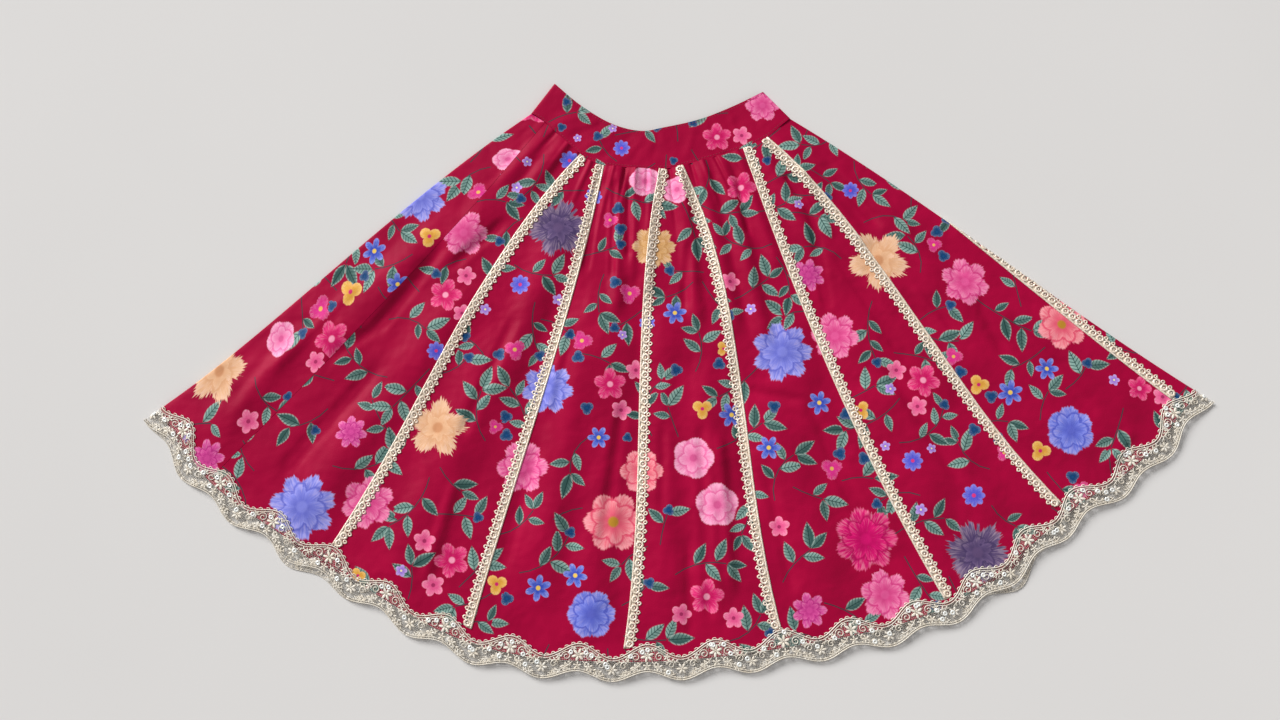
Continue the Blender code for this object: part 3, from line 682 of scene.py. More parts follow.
def gathers(v, share):
    """Height of the gathers under the waistband."""
    width = np.interp(v, *GATHER_ROW)
    height = np.zeros(np.shape(v))
    for middle, half_width, depth, length in GATHERS:
        away = np.abs(share - middle) * width / (half_width * (1.0 + GATHER_SPREAD * v))
        wave = 0.5 * (1.0 + np.cos(math.pi * np.minimum(away, 1.0)))
        height += depth * wave * (1.0 - ease(v * SKIRT_LENGTH / length))
    return height


def raise_front(v, share, flat):
    """Height of the front's loft, folds, creases and gathers."""
    height = LOFT + FOLD_DEPTH * relief(flat, FRONT_FOLDS)
    height = height + CREASE_DEPTH * relief(flat, FRONT_CREASES) + CREASE_DEPTH * gathers(v, share)
    return np.maximum(height, LEAST_LOFT)


def back_lines(v):
    """Distances to the lines of trims 7 to 14."""
    length = SKIRT.length(v)
    start = length + mix(*ROUND_TRIM, v)
    end = 2.0 * length - mix(*LAST_BEHIND, v)
    widths = [mix(*(TRIM_SPACE if number % 2 else TRIM_PAIR), v) for number in range(BACK_STRIPS)]
    lines = [start]
    for width in widths:
        lines.append(lines[-1] + width * (end - start) / sum(widths))
    return lines


def raise_back(v, q, near, flat):
    """Height of the back over the floor, at its folds, trims, lace and creases."""
    above_hem = (1.0 - v) * SKIRT_LENGTH
    away = np.minimum(near - LIFT_EDGE, above_hem - LACE_ON_CLOTH - LACE_ON_WAVE)
    lines = back_lines(v)
    for number in range(0, BACK_STRIPS, 2):
        first_reach = TRIM_COLUMN if number else ROUND_TRIM_REACH
        first = np.maximum(lines[number] - q, q - lines[number] - first_reach)
        second = np.maximum(q - lines[number + 1], lines[number + 1] - q - TRIM_COLUMN)
        away = np.minimum(away, np.minimum(first, second) - LIFT_EDGE)
    flat_part = ease(away / LIFT_RAMP)
    return UNDER_LIFT * (1.0 - flat_part) + relief(flat, BACK_CREASES) * flat_part


def back_shift(v, flat, near, front):
    """Flat shift of the back's hem past the front's, shared by the side fold next to it."""
    share = np.where(front, 1.0 - ease(near / LOFT_RAMP), 1.0)
    share = share * ease((v - PEEP_FROM) / (1.0 - PEEP_FROM))
    shift = np.zeros(flat.shape)
    for place, spread, reach in BACK_PEEPS:
        away = np.linalg.norm(flat - np.array(place, dtype=float), axis=-1)
        down = np.array(place, dtype=float) - np.array(PEEP_FAN)
        shift += (reach * share * np.exp(-(away / spread) ** 2))[..., None] * down / np.hypot(*down)
    return shift


def skirt_line(v):
    """Line across the skirt at v."""
    return smooth_line([station_point(row, v) for row in FRONT_LINES])


def band_line(w):
    """Line across the waistband, from its seam at 0 to its top edge at 1."""
    seam, top = skirt_line(0.0), smooth_line(BAND_TOP)
    shares = np.linspace(0.0, 1.0, BAND_POINTS)
    ends = []
    for line in (seam, top):
        reach = reach_along(line)
        ends.append(np.array([np.interp(shares * reach[-1], reach, line[:, axis]) for axis in (0, 1)]).T)
    return mix(ends[0], ends[1], w)


def raise_band(w, share, flat):
    """Height of the waistband's front over its back."""
    height = BAND_FOLD_SHARE * (LOFT + relief(flat, FRONT_FOLDS)) - UNDER_LIFT
    return height + relief(flat, BAND_CREASES)


SKIRT = Tube(CLOTH, BEND, skirt_line, raise_front, raise_back, back_shift)
BAND = Tube(BAND_CLOTH, BAND_BEND, band_line, raise_band, lambda w, q, near, flat: 0.0 * q)


def front_line(name, v):
    """Distance from the left fold to a line of the front."""
    index = [row[0] for row in FRONT_LINES].index(name) * LINE_STEPS
    rows = SKIRT.rows[::LINE_ROWS]
    return np.interp(v, rows, [reach_along(skirt_line(row))[index] for row in rows])


def side_seam(v):
    """Distance to the right side seam."""
    return SKIRT.length(v) + mix(*RIGHT_SIDE_SEAM, v)


def columns_between(stops, counts):
    """Columns across a panel through stops, with a count of steps between each two."""
    lines = [stops[0][:, None]]
    for start, end, count in zip(stops, stops[1:], counts):
        steps = np.arange(1, count + 1) / count
        lines.append(mix(start[:, None], end[:, None], steps[None, :]))
    return np.hstack(lines)


def fold_stops(at, bend=BEND):
    """Stops round a side fold."""
    return [at + math.radians(angle) * bend for angle in BEND_STEPS]


def make_mesh(name, points, faces, material):
    """Object from points in millimetres and faces, with a material."""
    mesh = bpy.data.meshes.new(name)
    mesh.from_pydata((points * MM).tolist(), [], faces)
    mesh.shade_smooth()
    piece = bpy.data.objects.new(name, mesh)
    bpy.context.scene.collection.objects.link(piece)
    mesh.materials.append(material)
    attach(piece, "root")
    return piece


def sheet_faces(rows, columns, ring=False):
    """Faces of a closed shell over a grid of rows and columns, the outer sheet's first."""
    width = columns if ring else columns + 1
    k, j = np.meshgrid(np.arange(rows), np.arange(columns), indexing="ij")
    after = (j + 1) % width if ring else j + 1
    outer = np.stack([k * width + j, (k + 1) * width + j, (k + 1) * width + after, k * width + after], -1)
    outer = outer.reshape(-1, 4)
    count = (rows + 1) * width
    last = rows * width
    if ring:
        loops = [[last + i for i in range(width)], [width - 1 - i for i in range(width)]]
    else:
        down = [i * width for i in range(rows)]
        along = [last + i for i in range(columns)]
        up = [i * width + columns for i in range(rows, 0, -1)]
        back = [i for i in range(columns, 0, -1)]
        loops = [down + along + up + back]
    rims = [(b, a, a + count, b + count) for loop in loops for a, b in zip(loop, loop[1:] + loop[:1])]
    return outer, outer[:, ::-1] + count, np.array(rims)


def cloth_shell(name, tube, v, q, material, flowers, behind=False, ring=False):
    """Closed shell of cloth on a tube, with its print as face corner attributes."""
    middle, normal = tube.spot(v, q)
    levels = (tube.cloth / 2.0, tube.cloth / 2.0 - SILK)
    points = np.vstack([(middle + normal * level).reshape(-1, 3) for level in levels])
    outer, inner, rims = sheet_faces(v.shape[0] - 1, v.shape[1] - (0 if ring else 1), ring)
    faces = np.vstack([outer, inner, rims])
    piece = make_mesh(name, points, faces.tolist(), material)
    piece.data.set_sharp_from_angle(angle=math.radians(SHARP_ANGLE))
    corners = tube.print_place(v, q, behind).reshape(-1, 2)[outer]
    if ring:
        # Where the ring closes, a face has corners at both ends of the flat print
        corners[np.ptp(corners, axis=1).max(axis=1) > WIDEST_FACE] = OFF_CLOTH
    for layer, values in flowers.corners(corners).items():
        table = np.full((len(faces), 4, 3), NOTHING)
        table[:len(outer)] = values
        attribute = piece.data.attributes.new(layer, "FLOAT_VECTOR", "CORNER")
        attribute.data.foreach_set("vector", table.ravel().astype(np.float32))
    return piece


class FlowerPrint:
    """A printed layout of flowers and leafy branches on flat cloth."""

    def __init__(self, flowers, fillers, inside, seed):
        self.chance = random.Random(seed)
        self.inside = inside
        self.flowers = [(kind, np.array((x, y), dtype=float), radius, math.radians(turn))
                        for kind, *places in flowers for x, y, radius, turn in places]
        self.leaves = []
        self.stems = []
        for kind, radius, tries in fillers:
            for _ in range(tries):
                self.try_flower(kind, radius)
        self.grow_branches()

    def random_place(self):
        """A place near one of the cloth's own points."""
        x, y = self.chance.choice(self.inside)
        change = [self.chance.uniform(-PLACE_CHANGE, PLACE_CHANGE) for _ in range(2)]
        return np.array((x + change[0], y + change[1]))

    def free(self, place, radius, space):
        """True where no flower lies within a distance."""
        return all(
            np.hypot(*(place - other)) > radius + reach + space for _, other, reach, _ in self.flowers)

    def try_flower(self, kind, radius):
        """Add a flower at a random place if there is room."""
        place = self.random_place()
        size = radius * self.chance.uniform(*FLOWER_SIZES)
        space = LARGE_SPACE if radius > LARGE_RADIUS else SMALL_SPACE
        if self.free(place, size, space):
            self.flowers.append((kind, place, size, self.chance.uniform(0.0, 2.0 * math.pi)))

    def grow_branches(self):
        """Curved branches with leaves on both sides, in the ground between the flowers."""
        taken = []
        for _ in range(BRANCH_TRIES):
            place = self.random_place()
            heading = self.chance.uniform(0.0, 2.0 * math.pi)
            bend = self.chance.uniform(-BRANCH_BEND, BRANCH_BEND)
            knots = [place]
            for _ in range(self.chance.choice(BRANCH_STEPS)):
                way = np.array((math.cos(heading), math.sin(heading)))
                knots.append(knots[-1] + way * BRANCH_STEP)
                heading += bend
            crowded = any(
                np.hypot(*(knot - other)) < BRANCH_SPACE for knot in knots[1:] for other in taken)
            if not crowded and all(self.free(knot, 0.0, BRANCH_OFF_FLOWERS) for knot in knots[1:]):
                taken += knots
                self.grow_branch(knots)

    def grow_branch(self, knots):
        """One branch: its stem, its leaves and perhaps a bud at its tip."""
        last = len(knots) - 2
        budded = self.chance.random() < BUD_SHARE
        for number, (start, end) in enumerate(zip(knots, knots[1:])):
            self.stems.append((start, end, number == 0, number == last))
            way = math.atan2(*(end - start)[::-1])
            side = 1.0 if number % 2 else -1.0
            if number:
                turn = LEAF_TURN + self.chance.uniform(*LEAF_TURN_CHANGE)
                self.grow_leaf(end, way + side * turn)
            if number == last and not budded:
                self.grow_leaf(end, way + self.chance.uniform(*TIP_TURN_CHANGE))
        if budded:
            tip = knots[-1] + (knots[-1] - knots[-2]) * BUD_STEP
            self.flowers.append(("navy", tip, BUD_RADIUS, way))

    def grow_leaf(self, base, turn):
        """One leaf from its base."""
        length = self.chance.uniform(*LEAF_LENGTH)
        way = np.array((math.cos(turn), math.sin(turn)))
        middle = base + way * length / 2.0
        near = any(
            np.hypot(*(middle - other - along * reach / 2.0)) < LEAF_SPACE
            for other, along, reach, _ in self.leaves)
        if not near:
            self.leaves.append((base + way, way, length, self.chance.random()))

    @staticmethod
    def claim(corners, places, reaches):
        """Faces on a motif, the number of the motif each lies deepest in, and an empty table."""
        centres = corners.mean(axis=1)
        best = np.ones(len(centres))
        owner = np.full(len(centres), -1)
        for number, (place, reach) in enumerate(zip(places, reaches)):
            away = np.hypot(*(centres - place).T) / reach
            closer = away < best
            best[closer] = away[closer]
            owner[closer] = number
        found = owner >= 0
        return found, owner[found], np.full(corners.shape[:2] + (3,), NOTHING)

    def corners(self, corners):
        """Each layer's coordinates at the corners of the outer faces."""
        layers = {"flower": self.flower_corners(corners)}
        for side, layer in enumerate(("leaf_a", "leaf_b")):
            layers[layer] = self.leaf_corners(corners, self.leaves[side::2])
        layers["stem"] = self.stem_corners(corners)
        return layers

    def flower_corners(self, corners):
        """Place in a flower of radius 1, and its kind's place in the ramps."""
        names, *columns = zip(*self.flowers)
        places, radii, turns = map(np.array, columns)
        kinds = np.array([(KIND_NAMES.index(name) + 0.5) / len(KIND_NAMES) for name in names])
        found, mine, table = self.claim(corners, places, PETAL_REACH * radii + MOTIF_SPARE)
        local = (corners[found] - places[mine][:, None]) / radii[mine][:, None, None]
        cos, sin = np.cos(turns[mine])[:, None], np.sin(turns[mine])[:, None]
        table[found, :, 0] = local[..., 0] * cos + local[..., 1] * sin
        table[found, :, 1] = local[..., 1] * cos - local[..., 0] * sin
        table[found, :, 2] = kinds[mine][:, None]
        return table

    def leaf_corners(self, corners, leaves):
        """Share along a leaf, share across its half width, and its tone."""
        bases, ways, lengths, tones = map(np.array, zip(*leaves))
        middles = bases + ways * lengths[:, None] / 2.0
        found, mine, table = self.claim(corners, middles, lengths / 2.0 + MOTIF_SPARE)
        local = (corners[found] - bases[mine][:, None]) / lengths[mine][:, None, None]
        way = ways[mine][:, None]
        table[found, :, 0] = (local * way).sum(axis=-1)
        table[found, :, 1] = (way[..., 0] * local[..., 1] - way[..., 1] * local[..., 0]) / LEAF_WIDTH
        table[found, :, 2] = tones[mine][:, None]
        return table

    def stem_corners(self, corners):
        """Millimetres across a stem, and past its end."""
        starts, ends, first, last = map(np.array, zip(*self.stems))
        runs = ends - starts
        lengths = np.linalg.norm(runs, axis=-1)
        found, mine, table = self.claim(corners, starts + runs / 2.0, lengths / 2.0 + MOTIF_SPARE)
        way = (runs / lengths[:, None])[mine][:, None]
        local = corners[found] - starts[mine][:, None]
        along = (local * way).sum(axis=-1)
        before = np.where(first[mine][:, None], -along, -NOTHING)
        after = np.where(last[mine][:, None], along - lengths[mine][:, None], -NOTHING)
        table[found, :, 0] = way[..., 0] * local[..., 1] - way[..., 1] * local[..., 0]
        table[found, :, 1] = np.maximum(before, after)
        return table


def add_node(tree, kind, inputs=None, settings=None):
    """Add a node with its settings, and link or set its inputs."""
    node = tree.nodes.new("ShaderNode" + kind)
    for name, value in (settings or {}).items():
        setattr(node, name, value)
    for name, source in (inputs or {}).items():
        if isinstance(source, bpy.types.Node):
            source = source.outputs[0]
        if isinstance(source, bpy.types.NodeSocket):
            tree.links.new(source, node.inputs[name])
        else:
            node.inputs[name].default_value = source
    return node


def follow(tree, steps, values):
    """Add nodes for a table of named sums: result, operation, what it works on."""
    for result, operation, *sources in steps:
        inputs = {i: values.get(s, s) if isinstance(s, str) else s for i, s in enumerate(sources)}
        values[result] = add_node(tree, "Math", inputs, {"operation": operation}).outputs[0]
    return values


def new_material(name, roughness, metallic=0.0):
    """A material with its shader, and the shader's own values."""
    material = bpy.data.materials.new(name)
    material.use_nodes = True
    shader = material.node_tree.nodes["Principled BSDF"]
    shader.inputs["Roughness"].default_value = roughness
    shader.inputs["Metallic"].default_value = metallic
    return material, material.node_tree, shader


# How a flower, a leaf and a stem are drawn from the print's coordinates
# Columns: result, operation, what it works on
FLOWER_STEPS = (
    ("turn", "ARCTAN2", "y", "x"),
    ("warped", "MULTIPLY_ADD", "grain", "ragged", "turn"),
    ("lobes", "MULTIPLY", "petals", "warped"),
    ("half", "MULTIPLY", "lobes", 0.5),
    ("wave", "COSINE", "half"),
    ("lobe", "ABSOLUTE", "wave"),
    ("gap", "SUBTRACT", 1.0, "lobe"),
    ("notched", "MULTIPLY", "gap", "notch"),
    ("whole", "SUBTRACT", 0.96, "notched"),
    ("soft_grain", "MULTIPLY", "grain", 0.35),
    ("rough", "MULTIPLY_ADD", "frayed", 1.5, "soft_grain"),
    ("edge", "MULTIPLY_ADD", "rough", "ragged", "whole"),
    ("room", "SUBTRACT", "edge", "far"),
    ("flower_mask", "MULTIPLY", "room", 16.0),
    ("outward", "DIVIDE", "far", "edge"),
    ("deep_gap", "POWER", "gap", 2.0),
    ("crease", "MULTIPLY", "deep_gap", "outward"),
    ("half_2", "MULTIPLY_ADD", "lobes", 0.5, 1.2),
    ("half_3", "MULTIPLY_ADD", "half_2", 1.0, "grain"),
    ("wave_2", "COSINE", "half_3"),
    ("lobe_2", "ABSOLUTE", "wave_2"),
    ("edge_2", "MULTIPLY_ADD", "lobe_2", 0.22, "ring"),
    ("edge_3", "MULTIPLY_ADD", "grain", "ragged", "edge_2"),
    ("room_2", "SUBTRACT", "edge_3", "far"),
    ("has_ring", "GREATER_THAN", "ring", 0.1),
    ("ring_room", "MULTIPLY", "room_2", 18.0),
    ("ring_mask", "MULTIPLY", "ring_room", "has_ring"),
    ("rim", "ABSOLUTE", "room_2"),
    ("near_rim", "MULTIPLY_ADD", "rim", -14.0, 1.0),
    ("rim_line", "MULTIPLY", "near_rim", "has_ring"),
    ("outward_2", "DIVIDE", "far", "edge_3"),
    ("shade_2", "POWER", "outward_2", 1.6),
    ("heart_room", "SUBTRACT", 0.2, "far"),
    ("heart_mask", "MULTIPLY", "heart_room", 14.0),
    ("shade", "MULTIPLY_ADD", "outward", 1.5, -0.45),
    ("streaked", "MULTIPLY_ADD", "grain", 1.3, "shade"),
    ("rim_light", "MULTIPLY_ADD", "outward", 0.35, -0.2),
    ("lit", "MULTIPLY_ADD", "fur", 0.7, "rim_light"),
    ("fibre", "MULTIPLY", "fur", -2.2),
)

LEAF_STEPS = (
    ("from_base", "MAXIMUM", "t", 0.0),
    ("along", "MINIMUM", "from_base", 1.0),
    ("spread", "POWER", "along", 0.8),
    ("swell", "MULTIPLY", "spread", math.pi),
    ("width", "SINE", "swell"),
    ("side", "ABSOLUTE", "s"),
    ("room", "SUBTRACT", "width", "side"),
    ("leaf_mask", "MULTIPLY", "room", 5.0),
    ("half_tone", "MULTIPLY_ADD", "s", 0.4, "tone"),
    ("near_rib", "MULTIPLY_ADD", "side", -9.0, 1.0),
    ("slant", "MULTIPLY_ADD", "side", -0.16, "along"),
    ("turns", "MULTIPLY", "slant", 44.0),
    ("ripple", "SINE", "turns"),
    ("vein", "MULTIPLY_ADD", "ripple", 2.2, -1.1),
    ("pale_edge", "MULTIPLY_ADD", "room", -3.6, 1.35),
)

STEM_STEPS = (
    ("off", "ABSOLUTE", "across"),
    ("inside", "SUBTRACT", STEM_HALF_WIDTH, "off"),
    ("stem_side", "MULTIPLY", "inside", 4.0),
    ("before_end", "MULTIPLY", "past", -2.0),
    ("stem_mask", "MINIMUM", "stem_side", "before_end"),
)


def kind_ramp(tree, place, colours):
    """Settings by flower kind, as a stepped ramp."""
    ramp = add_node(tree, "ValToRGB", {"Fac": place})
    ramp.color_ramp.interpolation = "CONSTANT"
    elements = ramp.color_ramp.elements
    while len(elements) > 1:
        elements.remove(elements[-1])
    elements[0].position = 0.0
    elements[0].color = colours[0]
    for number, colour in enumerate(colours[1:], start=1):
        elements.new(number / len(colours)).color = colour
    return ramp


def over(tree, mask, below, above):
    """One colour laid over another where a mask says."""
    clear = add_node(tree, "Clamp", {0: mask})
    return add_node(tree, "Mix", {0: clear, 6: below, 7: above}, {"data_type": "RGBA"}).outputs[2]


def printed_silk(colours):
    """Crimson silk, plain woven and printed: a soft, even sheen broken by small wrinkles."""
    material, tree, shader = new_material("woven_printed_silk", 0.5)
    shader.inputs["Sheen Weight"].default_value = 0.015
    shader.inputs["Sheen Roughness"].default_value = 0.35
    shader.inputs["Specular IOR Level"].default_value = 0.06
    place = add_node(tree, "TexCoord").outputs["Object"]

    # Slow changes about 60 mm across: a random deeper tone of the crimson ground that is also painted
    # shade of soft folds
    dye_and_fold_shade = add_node(tree, "TexNoise", {"Vector": place, "Scale": 16.0, "Detail": 3.0})
    colour = over(tree, dye_and_fold_shade.outputs[0], (*colours.silk_shade, 1.0), (*colours.silk, 1.0))

    stem = add_node(tree, "Attribute", settings={"attribute_name": "stem"})
    parts = add_node(tree, "SeparateXYZ", {0: stem.outputs["Vector"]})
    values = follow(tree, STEM_STEPS, {"across": parts.outputs[0], "past": parts.outputs[1]})
    colour = over(tree, values["stem_mask"], colour, (*colours.stem, 1.0))

    for layer in ("leaf_a", "leaf_b"):
        leaf = add_node(tree, "Attribute", settings={"attribute_name": layer})
        parts = add_node(tree, "SeparateXYZ", {0: leaf.outputs["Vector"]})
        values = follow(tree, LEAF_STEPS, {
            "t": parts.outputs[0], "s": parts.outputs[1], "tone": parts.outputs[2]})
        body = over(tree, values["half_tone"], (*colours.leaf_dark, 1.0), (*colours.leaf, 1.0))
        body = over(tree, values["pale_edge"], body, (*colours.leaf_edge, 1.0))
        body = over(tree, values["vein"], body, (*colours.leaf_dark, 1.0))
        body = over(tree, values["near_rib"], body, (*colours.leaf_vein, 1.0))
        colour = over(tree, values["leaf_mask"], colour, body)

    flower = add_node(tree, "Attribute", settings={"attribute_name": "flower"}).outputs["Vector"]
    parts = add_node(tree, "SeparateXYZ", {0: flower})
    flat = add_node(tree, "CombineXYZ", {0: parts.outputs[0], 1: parts.outputs[1]})
    far = add_node(tree, "VectorMath", {0: flat}, {"operation": "LENGTH"}).outputs["Value"]
    noise = add_node(tree, "TexNoise", {"Vector": flower, "Scale": 5.5, "Detail": 2.0})
    kind = parts.outputs[2]
    # Fine fibres that run out along the petals
    around = follow(tree, (
        ("turn", "ARCTAN2", parts.outputs[1], parts.outputs[0]),
        ("round", "MULTIPLY", "turn", 7.0),
        ("out", "MULTIPLY", far, 1.4),
    ), {})
    along = add_node(tree, "CombineXYZ", {0: around["round"], 1: around["out"], 2: kind})
    fibres = add_node(tree, "TexNoise", {"Vector": along, "Scale": 2.4, "Detail": 2.0})
    # Petal edges fray by direction alone, so that no bit of ink lies loose
    outline = add_node(tree, "CombineXYZ", {0: around["round"], 2: kind})
    fray = add_node(tree, "TexNoise", {"Vector": outline, "Scale": 2.0, "Detail": 3.0})
    shapes = [(petals / 20.0, notch, ragged, ring) for _, petals, notch, ragged, ring, *_ in FLOWER_KINDS]
    shape_ramp = kind_ramp(tree, kind, shapes)
    shape = add_node(tree, "SeparateColor", {0: shape_ramp.outputs["Color"]})
    values = follow(tree, (
        ("scaled", "MULTIPLY", shape.outputs[0], 20.0),
        ("petals", "ROUND", "scaled"),
        ("grain", "SUBTRACT", noise.outputs[0], 0.5),
        ("fur", "SUBTRACT", fibres.outputs[0], 0.5),
        ("frayed", "SUBTRACT", fray.outputs[0], 0.5),
        ("ragged", "MULTIPLY", shape.outputs[2], 1.1),
    ), {})
    values.update(x=parts.outputs[0], y=parts.outputs[1], far=far, notch=shape.outputs[1],
                  ring=shape_ramp.outputs["Alpha"])
    follow(tree, FLOWER_STEPS, values)
    outer, inner, heart = (
        kind_ramp(tree, kind, [(*linear(row[column]), 1.0) for row in FLOWER_KINDS]).outputs[0]
        for column in (5, 6, 7))
    petal = over(tree, values["streaked"], inner, outer)
    petal = over(tree, values["crease"], petal, inner)
    ring = over(tree, values["shade_2"], inner, outer)
    petal = over(tree, values["ring_mask"], petal, ring)
    petal = over(tree, values["lit"], petal, PETAL_LIGHT)
    petal = over(tree, values["rim_line"], petal, inner)
    petal = over(tree, values["fibre"], petal, inner)
    petal = over(tree, values["heart_mask"], petal, heart)
    colour = over(tree, values["flower_mask"], colour, petal)
    tree.links.new(colour, shader.inputs["Base Color"])

    # Threads stand 0.25 mm apart, drawn at 1.2 mm because finer ones don't show, on 17 mm slubs
    weave = add_node(tree, "TexNoise", {"Vector": place, "Scale": 850.0, "Detail": 1.0})
    slub = add_node(tree, "TexNoise", {"Vector": place, "Scale": 60.0, "Detail": 4.0})
    rough = follow(tree, (("bumps", "MULTIPLY_ADD", slub.outputs[0], 3.0, weave.outputs[0]),), {})
    # Small wrinkles left by folding, about 40 mm apart
    wrinkles = add_node(tree, "TexNoise", {
        "Vector": place, "Scale": 26.0, "Detail": 2.0, "Roughness": 0.5, "Distortion": 0.15})
    creased = add_node(tree, "Bump", {
        "Height": wrinkles.outputs[0], "Distance": 0.006, "Strength": 0.55})
    bump = add_node(tree, "Bump", {
        "Height": rough["bumps"], "Distance": 0.00016, "Strength": 0.6, "Normal": creased})
    tree.links.new(bump.outputs[0], shader.inputs["Normal"])
    return material


def beaded_braid(colours):
    """Ivory and gold bead braid: pearly beads with warm gold thread in patches, and painted shade in the
    hollows between the beads.
    """
    material, tree, shader = new_material("beaded_braid", 0.34, 0.1)
    shader.inputs["Coat Weight"].default_value = 0.35
    place = add_node(tree, "TexCoord").outputs["Object"]
    # Single beads are about 1.6 mm, with the gold in patches of 4 mm
    beads = add_node(tree, "TexVoronoi", {"Vector": place, "Scale": 620.0})
    tint = add_node(tree, "TexNoise", {"Vector": place, "Scale": 240.0, "Detail": 2.0})
    values = follow(tree, (
        ("hollow", "MULTIPLY_ADD", beads.outputs["Distance"], 1.5, -0.35),
        ("tone", "MULTIPLY_ADD", tint.outputs[0], 2.2, -0.75),
    ), {})
    colour = over(tree, values["tone"], (*colours.braid_gold, 1.0), (*colours.braid, 1.0))
    # Painted shade: darker away from each bead's middle, in the hollows between the beads
    colour = over(tree, values["hollow"], colour, (*colours.braid_shade, 1.0))
    tree.links.new(colour, shader.inputs["Base Color"])
    hollow = {"Height": beads.outputs["Distance"], "Distance": 0.0006, "Strength": 0.7}
    bump = add_node(tree, "Bump", hollow, {"invert": True})
    tree.links.new(bump.outputs[0], shader.inputs["Normal"])
    return material


def metallic_thread(colours):
    """Silver-gold thread, spun and worked into lace: bright strands between dull ones."""
    material, tree, shader = new_material("metallic_thread", 0.4, 0.04)
    place = add_node(tree, "TexCoord").outputs["Object"]
    # Strands are 0.4 mm, drawn at 1.1 mm to show, in silver and gold patches of 8 mm
    strands = add_node(tree, "TexNoise", {"Vector": place, "Scale": 900.0, "Detail": 2.0})
    tint = add_node(tree, "TexNoise", {"Vector": place, "Scale": 120.0, "Detail": 2.0})
    values = follow(tree, (
        ("bright", "MULTIPLY_ADD", strands.outputs[0], 2.6, -0.9),
        ("warm", "MULTIPLY_ADD", tint.outputs[0], 2.4, -0.8),
    ), {})
    colour = over(tree, values["warm"], (*colours.lace_silver, 1.0), (*colours.lace_gold, 1.0))
    colour = over(tree, values["bright"], (*colours.lace_shade, 1.0), colour)
    tree.links.new(colour, shader.inputs["Base Color"])
    bump = add_node(tree, "Bump", {
        "Height": strands.outputs[0], "Distance": 0.0004, "Strength": 0.4})
    tree.links.new(bump.outputs[0], shader.inputs["Normal"])
    return material


def lace_net(colours):
    """Net of fine metallic thread: open cells that let the silk show through."""
    material, tree, shader = new_material("metallic_net", 0.45, 0.05)
    uv = add_node(tree, "UVMap", settings={"uv_map": "lace"})
    # Cells are 0.9 mm, drawn at 1.9 mm to show, with worked patches of 8 mm
    spacing = {"Vector": uv.outputs[0], "Scale": 520.0, "Randomness": 0.35}
    cells = add_node(tree, "TexVoronoi", spacing, {"feature": "DISTANCE_TO_EDGE"})
    patches = add_node(tree, "TexNoise", {"Vector": uv.outputs[0], "Scale": 130.0})
    values = follow(tree, (
        ("thread", "MULTIPLY_ADD", cells.outputs["Distance"], -9.0, 0.8),
        ("worked", "MULTIPLY_ADD", patches.outputs[0], 5.0, -3.0),
        ("filled", "MAXIMUM", "thread", "worked"),
        ("solid", "MINIMUM", "filled", NET_SOLID),
    ), {})
    colour = over(tree, patches.outputs[0], (*colours.lace_gold, 1.0), (*colours.lace_silver, 1.0))
    tree.links.new(colour, shader.inputs["Base Color"])
    clear = add_node(tree, "Clamp", {0: values["solid"]})
    tree.links.new(clear.outputs[0], shader.inputs["Alpha"])
    bump = add_node(tree, "Bump", {
        "Height": values["solid"], "Distance": 0.0004, "Strength": 0.6})
    tree.links.new(bump.outputs[0], shader.inputs["Normal"])
    return material


def pearl_sequin(colours):
    """Pressed plastic sequins with a pearl coat: small bright discs that catch the light."""
    material, tree, shader = new_material("pearl_sequin", 0.12, 0.2)
    shader.inputs["Coat Weight"].default_value = 0.6
    place = add_node(tree, "TexCoord").outputs["Object"]
    # The coat changes colour over about 11 mm, so that sequins differ
    tint = add_node(tree, "TexNoise", {"Vector": place, "Scale": 90.0})
    colour = over(tree, tint.outputs[0], (*colours.sequin, 1.0), (*colours.lace_silver, 1.0))
    tree.links.new(colour, shader.inputs["Base Color"])
    return material


def sewing_thread(colours):
    """Crimson polyester sewing thread, twisted: small dull stitches."""
    material, tree, shader = new_material("sewing_thread", 0.6)
    place = add_node(tree, "TexCoord").outputs["Object"]
    # Twists are about 0.4 mm
    twist = add_node(tree, "TexNoise", {"Vector": place, "Scale": 2500.0})
    colour = over(tree, twist.outputs[0], (*colours.silk_shade, 1.0), (*colours.thread, 1.0))
    tree.links.new(colour, shader.inputs["Base Color"])
    return material


def pale_floor(colours):
    """Painted studio board: pale, matt and very slightly uneven."""
    material, tree, shader = new_material("painted_board", 0.85)
    place = add_node(tree, "TexCoord").outputs["Object"]
    # Slow changes, about half a metre across
    cloud = add_node(tree, "TexNoise", {"Vector": place, "Scale": 2.0, "Detail": 3.0})
    colour = over(tree, cloud.outputs[0], (*colours.floor, 1.0), (*colours.floor_light, 1.0))
    tree.links.new(colour, shader.inputs["Base Color"])
    return material


def model_ring(radius, tube, lobes):
    """A flattened ring of beads, modelled once."""
    bpy.ops.object.select_all(action="DESELECT")
    bpy.ops.mesh.primitive_torus_add(
        align="WORLD", location=(0.0, 0.0, 0.0), major_segments=2 * lobes,
        minor_segments=RING_SIDES, major_radius=radius, minor_radius=tube)
    ring = bpy.context.active_object
    for vert in ring.data.vertices:
        turn = math.degrees(math.atan2(vert.co.y, vert.co.x)) * lobes / 180.0
        vert.select = round(turn) % 2 == 0
    for group in (ring.data.edges, ring.data.polygons):
        for part in group:
            part.select = False
    bpy.ops.object.mode_set(mode="EDIT")
    bpy.ops.mesh.select_mode(type="VERT")
    bpy.ops.transform.resize(value=BEAD_SWELL)
    bpy.ops.object.mode_set(mode="OBJECT")
    return take_shape(ring, (1.0, 1.0, FLATTEN))


def model_petal():
    """A worked petal, a low long dome, modelled once: 1 mm long and lying along X."""
    bpy.ops.object.select_all(action="DESELECT")
    around, along = PETAL_POINTS
    bpy.ops.mesh.primitive_uv_sphere_add(
        segments=around, ring_count=along, radius=0.5, location=(0.0, 0.0, 0.0))
    return take_shape(bpy.context.active_object, PETAL_SHAPE)


